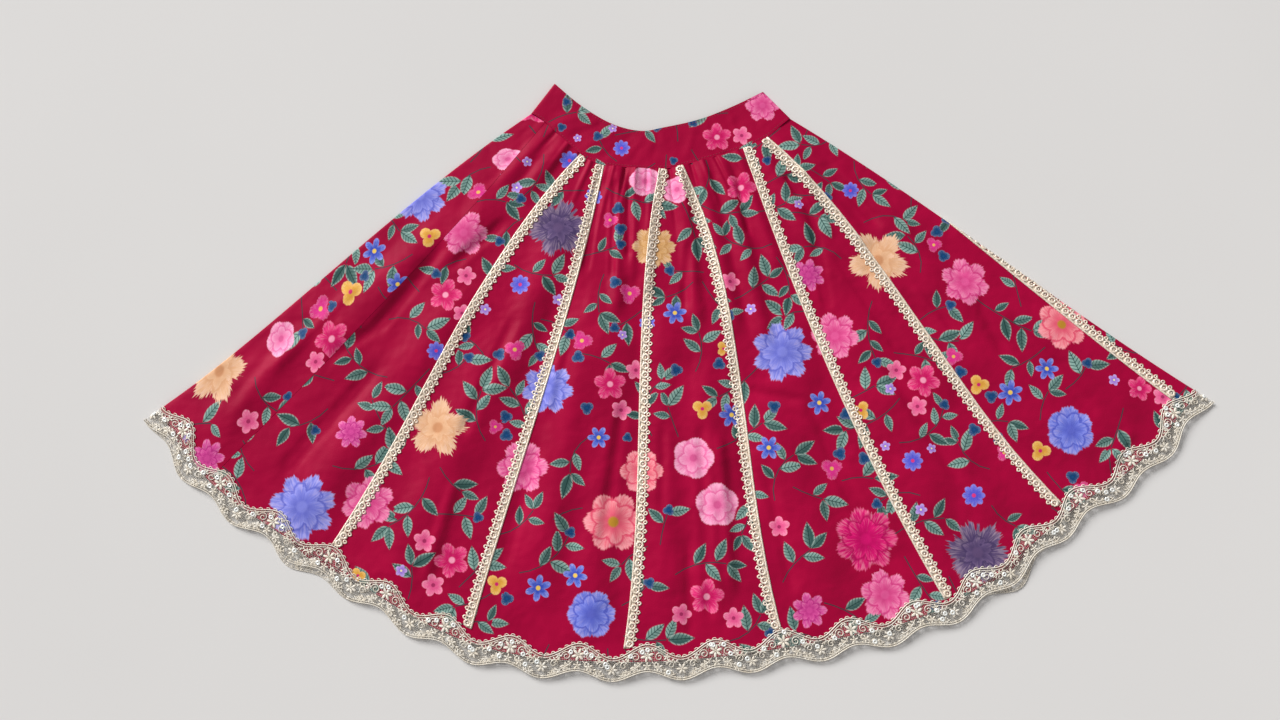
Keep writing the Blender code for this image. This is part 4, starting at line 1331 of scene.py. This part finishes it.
def model_sequin(width):
    """A sequin with a hole, modelled once from a torus."""
    bpy.ops.object.select_all(action="DESELECT")
    around, across = SEQUIN_POINTS
    middle, rim = SEQUIN_RING
    bpy.ops.mesh.primitive_torus_add(
        align="WORLD", location=(0.0, 0.0, 0.0), major_segments=around, minor_segments=across,
        major_radius=width * middle, minor_radius=width * rim)
    return take_shape(bpy.context.active_object, (1.0, 1.0, SEQUIN_FLAT))


def take_shape(thing, scale):
    """Scale a modelled shape and remove it, and give its points in millimetres and its faces."""
    bpy.ops.object.mode_set(mode="EDIT")
    bpy.ops.mesh.select_all(action="SELECT")
    bpy.ops.transform.resize(value=scale)
    bpy.ops.object.mode_set(mode="OBJECT")
    points = np.array([vert.co[:] for vert in thing.data.vertices])
    faces = [tuple(face.vertices) for face in thing.data.polygons]
    bpy.data.objects.remove(thing, do_unlink=True)
    return points, faces


class Shapes:
    """Shapes in (across, towards the waist, up) millimetres, joined into one mesh."""

    def __init__(self):
        self.points = []
        self.faces = []
        self.count = 0

    def add(self, points, faces):
        """Add a shape's points and faces."""
        self.points.append(points)
        self.faces += [tuple(i + self.count for i in face) for face in faces]
        self.count += len(points)

    def cord(self, path, radius, level, closed=False):
        """Add a cord of four sides along a flat path."""
        path = np.array(path, dtype=float)
        after, before = np.roll(path, -1, axis=0), np.roll(path, 1, axis=0)
        if not closed:
            after[-1], before[0] = path[-1], path[0]
        way = after - before
        way /= np.maximum(np.linalg.norm(way, axis=1, keepdims=True), 1e-6)
        side = np.stack([-way[:, 1], way[:, 0], np.zeros(len(path))], axis=1) * radius
        up = np.array((0.0, 0.0, radius))
        middle = np.column_stack([path, np.full(len(path), level)])
        points = np.stack([middle + side, middle + up, middle - side, middle - up], axis=1)
        faces = []
        for k in range(len(path) if closed else len(path) - 1):
            here, there = k * 4, (k + 1) % len(path) * 4
            faces += [(here + i, here + (i + 1) % 4, there + (i + 1) % 4, there + i) for i in range(4)]
        if not closed:
            last = (len(path) - 1) * 4
            faces += [(3, 2, 1, 0), (last, last + 1, last + 2, last + 3)]
        self.add(points.reshape(-1, 3), faces)

    def joined(self):
        """All points, and the faces."""
        return np.vstack(self.points), self.faces


def turned(points, place, turn, size, up):
    """Points turned flat, sized and moved."""
    cos, sin = math.cos(turn), math.sin(turn)
    scale = np.array((size, size, 1.0)) if np.isscalar(size) else np.array(size)
    moved = points * scale
    x = moved[:, 0] * cos - moved[:, 1] * sin + place[0]
    y = moved[:, 0] * sin + moved[:, 1] * cos + place[1]
    return np.column_stack([x, y, moved[:, 2] + up])


def recalculate(piece):
    """Turn the faces of a piece's closed shapes outwards."""
    shape = bmesh.new()
    shape.from_mesh(piece.data)
    bmesh.ops.recalc_face_normals(shape, faces=shape.faces)
    shape.to_mesh(piece.data)
    shape.free()


def lace_on(wave):
    """How far the lace reaches onto the cloth, at a share of its repeat."""
    return LACE_ON_CLOTH + LACE_ON_WAVE * np.cos(2.0 * math.pi * wave)


def lace_past(wave):
    """How far the lace reaches past the edge of the cloth."""
    return LACE_PAST_HEM - LACE_PAST_WAVE * np.cos(2.0 * math.pi * wave)


def lace_wave(q):
    """Share of the lace's repeat at a distance along the hem."""
    return LACE_REPEATS * q / (2.0 * SKIRT.length(1.0)) + LACE_PHASE


def length_property(name, description, default, least):
    """A length in metres that a user would change."""
    return bpy.props.FloatProperty(
        name=name, description=description, default=default, min=least, subtype="DISTANCE",
        unit="LENGTH")


class LehengaSizes(bpy.types.PropertyGroup):
    """Sizes that a user would change."""

    front_mesh: length_property(
        "Front mesh", "Distance between the front cloth's points", 0.0042, 0.003)
    back_mesh: length_property(
        "Back mesh", "Distance between the back cloth's points", 0.0052, 0.004)
    rosette_pitch: length_property(
        "Rosette pitch", "Distance between the bead flowers of a trim", 0.0095, 0.008)
    sequin: length_property("Sequin", "Width of a sequin on the lace", 0.0055, 0.003)
    stitch: length_property("Stitch", "Length of a stitch and the space after it", 0.0034, 0.002)


def colour_property(name, description, hex_colour):
    """A colour that a user would change."""
    return bpy.props.FloatVectorProperty(
        name=name, description=description, default=linear(hex_colour), subtype="COLOR", min=0.0, max=1.0)


class LehengaColours(bpy.types.PropertyGroup):
    """Colours that a user would change."""

    silk: colour_property("Silk", "Crimson ground of the print", "#B0073D")
    # Silk shade is a deeper tone of the ground and painted shade of soft folds
    silk_shade: colour_property("Silk shade", "Deeper crimson of the dye's slow changes", "#8C032E")
    leaf: colour_property("Leaf", "Teal of the lighter leaves", "#86A79E")
    leaf_dark: colour_property("Dark leaf", "Teal of the darker leaves and side veins", "#365652")
    leaf_edge: colour_property("Leaf edge", "Pale edge of the leaves", "#A5BDB4")
    leaf_vein: colour_property("Leaf rib", "Dark middle rib of the leaves", "#12302F")
    stem: colour_property("Stem", "Thin stems of the print", "#4C3842")
    braid: colour_property("Braid", "Ivory beads of the trims", "#FFF7EE")
    braid_gold: colour_property("Braid gold", "Gold thread of the trims", "#F3E2CE")
    # Braid shade is painted shade in the hollows between the beads
    braid_shade: colour_property("Braid shade", "Hollows between the beads", "#D9C4AC")
    lace_silver: colour_property("Lace silver", "Silver thread of the lace", "#FFFDF8")
    lace_gold: colour_property("Lace gold", "Gold thread of the lace", "#F3E8D6")
    lace_shade: colour_property("Lace shade", "Dull thread of the lace", "#DCD1BE")
    sequin: colour_property("Sequin", "Pearl coat of the sequins", "#FAFFFC")
    thread: colour_property("Thread", "Sewing thread", "#7C0A30")
    floor: colour_property("Floor", "Pale board under the skirt", "#D4D2D0")
    floor_light: colour_property("Floor light", "Lighter parts of the board", "#DAD8D6")


def past_left_fold(flowers):
    """Flowers placed on the front, moved to where the unfolded back print has them."""
    fold = SKIRT.table[:, :, 0] - CENTRE
    moved = []
    for kind, *places in flowers:
        for x, y, radius, turn in places:
            near = fold[np.argmin(np.hypot(fold[:, 0] - x, fold[:, 1] - y))]
            moved.append((kind, (x - 2.0 * near[0], 2.0 * near[1] - y, radius, turn)))
    return moved


def rows_apart(step):
    """Rows v from waist to hem, a step apart."""
    return np.linspace(0.0, 1.0, int(round(SKIRT_LENGTH / step)) + 1)


class LEHENGA_OT_panels(bpy.types.Operator):
    """Lay the two printed silk panels with their folds, creases and gathers"""

    bl_idname = "lehenga.panels"
    bl_label = "Printed silk panels"

    def execute(self, context):
        sizes = context.scene.lehenga_sizes
        silk = printed_silk(context.scene.lehenga_colours)
        self.lay("front", sizes.front_mesh / MM, silk)
        self.lay("back", sizes.back_mesh / MM, silk)
        return {"FINISHED"}

    @staticmethod
    def lay(side, step, silk):
        """Lay one panel from seam to seam, with close columns round its side fold."""
        behind = side == "back"
        v = rows_apart(step)
        length = SKIRT.length(v)
        left, right = front_line("left_side_seam", v), side_seam(v)
        if behind:
            start, fold, end = right, 2.0 * length, 2.0 * length + left
            flowers, fillers = past_left_fold(SLICE_FLOWERS), BACK_FILLERS
        else:
            start, fold, end = left, length, right
            flowers, fillers = FRONT_FLOWERS + FRONT_BUDS, FRONT_FILLERS
        stops = [start + SEAM_GAP / 2.0] + fold_stops(fold) + [end - SEAM_GAP / 2.0]
        counts = [1] * (len(stops) - 1)
        counts[0] = int((stops[1] - stops[0])[-1] / step)
        counts[-1] = int((stops[-1] - stops[-2])[-1] / step)
        q = columns_between(stops, counts)
        rows = np.broadcast_to(v[:, None], q.shape)
        inside = SKIRT.print_place(rows, q, behind)[::PRINT_SAMPLE, ::PRINT_SAMPLE].reshape(-1, 2)
        flowers = FlowerPrint(flowers, fillers, inside, PRINT_SEEDS[side])
        piece = cloth_shell("silk_" + side, SKIRT, rows, q, silk, flowers, behind)
        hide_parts("panel_" + side)


class LEHENGA_OT_waistband(bpy.types.Operator):
    """Lay the folded waistband on the gathered top, with its creases and print"""

    bl_idname = "lehenga.waistband"
    bl_label = "Waistband"

    def execute(self, context):
        silk = bpy.data.objects["silk_front"].data.materials[0]
        w = np.linspace(1.0, SEAM_GAP / BAND_HEIGHT, BAND_ROWS)
        length = BAND.length(w)
        stops = [stop for turns in (0.0, 1.0) for stop in fold_stops(turns * length, BAND_BEND)]
        stops.append(fold_stops(2.0 * length, BAND_BEND)[0])
        counts = ([1] * (len(BEND_STEPS) - 1) + [BAND_COLUMNS]) * 2
        q = columns_between(stops, counts)[:, :-1]
        rows = np.broadcast_to(w[:, None], q.shape)
        # Every second row and third column are enough to choose places from
        inside = BAND.print_place(rows, q, False)[::2, ::PRINT_SAMPLE].reshape(-1, 2)
        flowers = FlowerPrint(BAND_FLOWERS, BAND_FILLERS, inside, PRINT_SEEDS["band"])
        band = cloth_shell("silk_waistband", BAND, rows, q, silk, flowers, ring=True)
        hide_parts("waistband")
        return {"FINISHED"}


def trim_lines(v):
    """Trims: number, distance of the line, and the side of it on which the trim lies."""
    lines = [front_line("trim_%d" % number, v) for number in range(1, FRONT_TRIMS + 1)]
    lines += back_lines(v)
    return [(number, line, 1.0 if number % 2 else -1.0) for number, line in enumerate(lines, start=1)]


def trim_end(edge_q, inward):
    """Place v where a trim meets the lace."""
    across = edge_q + inward * np.linspace(0.0, TRIM_WIDTH + TRIM_INSET, TRIM_SAMPLES)
    return 1.0 - (float(np.max(lace_on(lace_wave(across)))) + TRIM_END_GAP) / SKIRT_LENGTH


class LEHENGA_OT_trims(bpy.types.Operator):
    """Sew the fourteen beaded trims down the panels"""

    bl_idname = "lehenga.trims"
    bl_label = "Beaded trims"

    def execute(self, context):
        pitch = context.scene.lehenga_sizes.rosette_pitch / MM
        braid = beaded_braid(context.scene.lehenga_colours)
        rosette, rosette_faces = model_ring(ROSETTE_RADIUS, ROSETTE_TUBE, ROSETTE_BEADS)
        bead, bead_faces = model_petal()
        picot, picot_faces = model_ring(PICOT_RADIUS, PICOT_TUBE, PICOT_BEADS)
        for number, line, inward in trim_lines(SKIRT.rows):
            end = trim_end(line[-1], inward)
            count = int(round(end * SKIRT_LENGTH / pitch))
            step = end * SKIRT_LENGTH / count
            shapes = Shapes()
            for unit in range(count):
                below = -(unit + 0.5) * step
                place = (inward * ROSETTE_ACROSS, below)
                shapes.add(turned(rosette, place, 0.0, 1.0, ROSETTE_UP), rosette_faces)
                shapes.add(turned(bead, place, 0.0, BEAD_SIZE, ROSETTE_UP), bead_faces)
                if unit:
                    place = (inward * PICOT_ACROSS, below + step / 2.0)
                    shapes.add(turned(picot, place, 0.0, 1.0, PICOT_UP), picot_faces)
            self.strip(shapes, end, inward, (0.0, CORD_WIDTH), CORD_UP)
            self.strip(shapes, end, inward, (CORD_WIDTH, STRIP_WIDTH), STRIP_UP)
            points, faces = shapes.joined()
            v = np.clip(-points[:, 1] / SKIRT_LENGTH, 0.0, 1.0)
            q = np.interp(v, SKIRT.rows, line) + inward * TRIM_INSET + points[:, 0]
            middle, normal = SKIRT.spot(v, q)
            laid = middle + normal * points[:, 2][:, None]
            piece = make_mesh("braid_%d" % number, laid, faces, braid)
            recalculate(piece)
            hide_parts("trim_%d" % number)
        return {"FINISHED"}

    @staticmethod
    def strip(shapes, end, inward, sides, heights):
        """Add a flat strip with a rounded top along the trim."""
        length = end * SKIRT_LENGTH
        rows = int(length / STRIP_STEP)
        low, high = heights
        shoulder = mix(low, high, STRIP_SHOULDER)
        section = ((0.0, low), (0.0, shoulder), (0.5, high), (1.0, shoulder), (1.0, low))
        size = len(section)
        points = np.array([
            (inward * mix(*sides, share), -length * k / rows, up)
            for k in range(rows + 1) for share, up in section])
        faces = [
            (at + i, at + (i + 1) % size, at + size + (i + 1) % size, at + size + i)
            for at in range(0, rows * size, size) for i in range(size)]
        faces += [tuple(range(size)), tuple(rows * size + i for i in reversed(range(size)))]
        shapes.add(points, faces)


def lay_on_hem(name, shapes, material):
    """Lay shapes round the hem as one piece. Their y is 0 at the edge of the cloth."""
    points, faces = shapes.joined()
    laid = SKIRT.lay(1.0 - points[:, 1] / SKIRT_LENGTH, points[:, 0], points[:, 2])
    piece = make_mesh(name, laid, faces, material)
    recalculate(piece)
    return piece


class LEHENGA_OT_lace(bpy.types.Operator):
    """Sew the scalloped metallic lace round the hem"""

    bl_idname = "lehenga.lace"
    bl_label = "Hem lace"

    def execute(self, context):
        colours = context.scene.lehenga_colours
        length = float(SKIRT.length(1.0))
        repeat = 2.0 * length / LACE_REPEATS
        net = self.net(lace_net(colours), length)
        points, faces = self.worked_repeat(repeat).joined()
        cords = self.copies(points, faces, repeat, metallic_thread(colours))
        sequins = self.sequins(context.scene.lehenga_sizes.sequin / MM, repeat, pearl_sequin(colours))
        for piece in [net, sequins] + cords:
            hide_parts("hem_lace")
        return {"FINISHED"}

    @staticmethod
    def net(material, length):
        """The net, a thin closed ring under the worked cords."""
        q = np.linspace(0.0, 2.0 * length, LACE_REPEATS * NET_COLUMNS, endpoint=False)
        folds = [stop % (2.0 * length) for at in (0.0, length) for stop in fold_stops(at)]
        near = np.minimum(np.abs(q - length), np.minimum(q, 2.0 * length - q))
        q = np.sort(np.concatenate([q[near > NET_OFF_FOLD], folds]))
        wave = lace_wave(q)
        shares = np.linspace(0.0, 1.0, NET_ROWS)[:, None]
        up = mix(lace_on(wave)[None], -lace_past(wave)[None], shares)
        v = 1.0 - up / SKIRT_LENGTH
        q = np.broadcast_to(q[None], v.shape)
        points = np.vstack([SKIRT.lay(v, q, level).reshape(-1, 3) for level in reversed(NET_UP)])
        outer, inner, rims = sheet_faces(v.shape[0] - 1, v.shape[1], True)
        faces = np.vstack([outer, inner, rims])
        piece = make_mesh("lace_net", points, faces.tolist(), material)
        flat = np.column_stack([q.ravel(), up.ravel()]) * MM
        flat = np.vstack([flat, flat])[faces.ravel()].reshape(-1, 4, 2)
        wrapped = np.ptp(flat[..., 0], axis=1) > length * MM
        for corner in range(4):
            low = wrapped & (flat[:, corner, 0] < length * MM)
            flat[low, corner, 0] += 2.0 * length * MM
        layer = piece.data.uv_layers.new(name="lace")
        layer.data.foreach_set("uv", flat.ravel().astype(np.float32))
        return piece

    @staticmethod
    def worked_repeat(repeat):
        """Cords, scrolls, flowers and leaves of one repeat, its peak at 0."""
        petal, petal_faces = model_petal()
        shapes = Shapes()

        def add_petal(place, turn, size, drop):
            """Add a petal or a leaf."""
            shapes.add(turned(petal, place, turn, size, CORD_LEVEL - drop), petal_faces)

        def middles(count):
            """Shares along the repeat, in the middle of each of its parts."""
            return (np.arange(count) + 0.5) / count - 0.5

        for share, inside, radius in EDGE_CORDS:
            across = np.linspace(-0.5, 0.5, EDGE_POINTS)
            reach = mix(-lace_past(across), lace_on(across), share) + inside
            shapes.cord(np.column_stack([across * repeat, reach]), radius, CORD_LEVEL)
        for across in middles(LOOPS):
            turn = np.linspace(0.0, math.pi, LOOP_POINTS)
            wide, deep = LOOP_SIZE
            loop = [across * repeat + wide * np.cos(turn), lace_on(across) + deep * np.sin(turn)]
            shapes.cord(np.column_stack(loop), LOOP_RADIUS, CORD_LEVEL)
        for across in middles(EDGE_PETALS):
            reach = mix(-lace_past(across), lace_on(across), EDGE_PETAL_SHARE) + EDGE_PETAL_RISE
            add_petal((across * repeat, reach), math.pi / 2.0, EDGE_PETAL_SIZE, EDGE_PETAL_DROP)

        def flower(x, y, petals, size, start):
            """A worked flower with a ring for its middle."""
            for number in range(petals):
                turn = start + 2.0 * math.pi * number / petals
                out = PETAL_OUT * size
                place = (x + out * math.cos(turn), y + out * math.sin(turn))
                add_petal(place, turn, (size, size, PETAL_HEIGHT), PETAL_DROP)
            turns = np.linspace(0.0, 2.0 * math.pi, RING_POINTS + 1)[:-1]
            ring = np.column_stack([x + RING_RADIUS * np.cos(turns), y + RING_RADIUS * np.sin(turns)])
            shapes.cord(ring, RING_CORD, CORD_LEVEL, closed=True)

        def leaf_row(start, end, bend, leaves, size):
            """A curved stem with leaves on both sides."""
            shares = np.linspace(0.0, 1.0, STEM_POINTS)
            run = end - start
            bow = (bend * np.sin(math.pi * shares))[:, None] * np.array((-run[1], run[0]))
            path = start + shares[:, None] * run + bow
            shapes.cord(path, STEM_CORD, CORD_LEVEL)
            for number in range(leaves):
                x, y = path[1 + number * (STEM_POINTS - 2) // leaves]
                way = math.atan2(run[1], run[0]) + (LACE_LEAF_TURN if number % 2 else -LACE_LEAF_TURN)
                place = (x + 0.5 * size * math.cos(way), y + 0.5 * size * math.sin(way))
                add_petal(place, way, (size, size, LACE_LEAF_HEIGHT), PETAL_DROP)

        def scroll(x, y, turns, size, mirror):
            """A cord wound inwards."""
            angles = np.linspace(0.0, 2.0 * math.pi * turns, int(SCROLL_POINTS * turns))
            reach = size * (1.0 - SCROLL_END * angles / angles[-1])
            path = np.column_stack([x + mirror * reach * np.cos(angles), y + reach * np.sin(angles)])
            shapes.cord(path, SCROLL_CORD, CORD_LEVEL)

        half = repeat / 2.0
        # Columns: start, end, bend, leaves, size
        leaf_rows = (
            ((5.0, -0.4), (26.0, -12.0), -0.1, 8, 3.8),
            ((17.0, -1.0), (half - 2.0, -3.2), 0.1, 6, 3.4),
            ((half - 7.0, -14.0), (17.0, -11.5), 0.16, 6, 3.2),
            ((2.5, 12.0), (9.5, 11.0), 0.2, 4, 3.2),
        )
        for row in MIDDLE_FLOWERS + ((-half, -9.0, 6, 5.6, 0.0),):
            flower(*row)
        for mirror in (-1.0, 1.0):
            for x, y, turns, size, way in SIDE_SCROLLS:
                scroll(mirror * x, y, turns, size, mirror * way)
            for x, *others in SIDE_FLOWERS:
                flower(mirror * x, *others)
            for start, end, bend, leaves, size in leaf_rows:
                flip = np.array((mirror, 1.0))
                leaf_row(start * flip, end * flip, bend * mirror, leaves, size)
        return shapes

    @staticmethod
    def copies(points, faces, repeat, material):
        """Copies of a worked repeat laid round the hem, in pieces of a quarter each."""
        pieces = []
        quarter = LACE_REPEATS // LACE_PIECES
        for part in range(LACE_PIECES):
            shapes = Shapes()
            for number in range(part * quarter, (part + 1) * quarter):
                shapes.add(points + np.array(((number + 1.0 - LACE_PHASE) * repeat, 0.0, 0.0)), faces)
            pieces.append(lay_on_hem("lace_cords_%d" % (part + 1), shapes, material))
        return pieces

    @staticmethod
    def sequins(width, repeat, material):
        """Sequins sewn here and there on the lace, more near its inner edge."""
        chance = random.Random(SEQUIN_SEED)
        disc, disc_faces = model_sequin(width)
        shapes = Shapes()
        for number in range(LACE_REPEATS):
            for across, share in SEQUIN_PLACES:
                if chance.random() > SEQUIN_SHARE:
                    continue
                across += chance.uniform(*SEQUIN_CHANGE[0])
                share += chance.uniform(*SEQUIN_CHANGE[1])
                place = (
                    (number + 1.0 - LACE_PHASE + across) * repeat,
                    mix(-lace_past(across), lace_on(across), share))
                shapes.add(turned(disc, place, 0.0, 1.0, CORD_LEVEL + SEQUIN_UP), disc_faces)
        return lay_on_hem("lace_sequins", shapes, material)


class LEHENGA_OT_stitches(bpy.types.Operator):
    """Stitch the waistband along its seam and its top edge"""

    bl_idname = "lehenga.stitches"
    bl_label = "Stitching"

    def execute(self, context):
        step = context.scene.lehenga_sizes.stitch / MM
        petal, faces = model_petal()
        shapes = Shapes()
        share, width, height = STITCH_SIZE
        for row in STITCH_ROWS:
            length = float(BAND.length(row))
            for number in range(int(2.0 * length / step)):
                place = ((number + 0.5) * step, row * BAND_HEIGHT)
                shapes.add(turned(petal, place, 0.0, (step * share, width, height), 0.0), faces)
        points, all_faces = shapes.joined()
        w = points[:, 1] / BAND_HEIGHT
        middle, normal = BAND.spot(w, points[:, 0])
        laid = middle + normal * (BAND_CLOTH / 2.0 + STITCH_UP + points[:, 2])[:, None]
        thread = sewing_thread(context.scene.lehenga_colours)
        piece = make_mesh("waistband_stitches", laid, all_faces, thread)
        recalculate(piece)
        return {"FINISHED"}


class LEHENGA_OT_sheets(bpy.types.Operator):
    """An empty step: it states no flat sizes of the cloth"""

    bl_idname = "lehenga.sheets"
    bl_label = "Cut sizes"

    def execute(self, context):
        return {"FINISHED"}


class LEHENGA_OT_stage(bpy.types.Operator):
    """Set the pale board, the soft light and the camera"""

    bl_idname = "lehenga.stage"
    bl_label = "Stage, light and camera"

    def execute(self, context):
        scene = context.scene
        bpy.ops.object.select_all(action="DESELECT")
        bpy.ops.mesh.primitive_plane_add(size=BOARD_SIZE, location=(0.0, 0.0, BOARD_LEVEL))
        floor = context.active_object
        floor.name = "studio_board"
        bpy.ops.object.transform_apply(location=True, rotation=True, scale=True)
        floor.data.materials.append(pale_floor(scene.lehenga_colours))

        world = bpy.data.worlds.new("studio")
        world.use_nodes = True
        sky = world.node_tree.nodes["Background"]
        sky.inputs["Color"].default_value = (*linear(ROOM_COLOUR), 1.0)
        sky.inputs["Strength"].default_value = ROOM_STRENGTH
        scene.world = world
        scene.view_settings.view_transform = "Standard"

        # Columns: name, where it shines from, strength, softness in degrees
        for name, place, strength, softness in (
            ("key", (-0.8, 0.8, 0.62), 4.55, 26.0),
            ("fill", (0.9, -0.5, 1.1), 0.35, 60.0),
        ):
            light = bpy.data.lights.new(name, "SUN")
            light.energy = strength
            light.angle = math.radians(softness)
            lamp = bpy.data.objects.new(name, light)
            lamp.location = place
            lamp.rotation_euler = (-lamp.location).to_track_quat("-Z", "Y").to_euler()
            scene.collection.objects.link(lamp)

        camera = bpy.data.cameras.new("camera")
        camera.lens = CAMERA_LENS
        camera.sensor_width = SENSOR_WIDTH
        eye = bpy.data.objects.new("camera", camera)
        angle = math.radians(CAMERA_HEIGHT_ANGLE)
        back = CAMERA_DISTANCE * math.cos(angle)
        up = CAMERA_DISTANCE * math.sin(angle)
        eye.location = (CAMERA_TARGET[0] * MM, (CAMERA_TARGET[1] - back) * MM, up * MM)
        eye.rotation_euler = (math.pi / 2.0 - angle, 0.0, 0.0)
        scene.collection.objects.link(eye)
        scene.camera = eye
        return {"FINISHED"}


class LEHENGA_PT_panel(bpy.types.Panel):
    """Sizes, colours and pieces of the skirt"""

    bl_idname = "LEHENGA_PT_panel"
    bl_label = "Lehenga skirt"
    bl_space_type = "VIEW_3D"
    bl_region_type = "UI"
    bl_category = "Lehenga"

    def draw(self, context):
        for group in (context.scene.lehenga_sizes, context.scene.lehenga_colours):
            for name in group.bl_rna.properties.keys():
                if name not in ("rna_type", "name"):
                    self.layout.prop(group, name)
        for operator in OPERATORS:
            self.layout.operator(operator.bl_idname)


OPERATORS = (
    LEHENGA_OT_stage, LEHENGA_OT_panels, LEHENGA_OT_waistband, LEHENGA_OT_trims, LEHENGA_OT_lace,
    LEHENGA_OT_stitches, LEHENGA_OT_sheets,
)
CLASSES = (LehengaSizes, LehengaColours) + OPERATORS + (LEHENGA_PT_panel,)


def register():
    """Register the classes and the scene's sizes and colours."""
    for cls in CLASSES:
        bpy.utils.register_class(cls)
    bpy.types.Scene.lehenga_sizes = bpy.props.PointerProperty(type=LehengaSizes)
    bpy.types.Scene.lehenga_colours = bpy.props.PointerProperty(type=LehengaColours)


def unregister():
    """Remove what register adds."""
    del bpy.types.Scene.lehenga_colours
    del bpy.types.Scene.lehenga_sizes
    for cls in reversed(CLASSES):
        bpy.utils.unregister_class(cls)


def main():
    """Make the stage and every piece."""
    register()
    bpy.ops.lehenga.stage()
    bpy.ops.lehenga.panels()
    bpy.ops.lehenga.waistband()
    bpy.ops.lehenga.trims()
    bpy.ops.lehenga.lace()
    bpy.ops.lehenga.stitches()
    bpy.ops.lehenga.sheets()


if __name__ == "__main__":
    main()
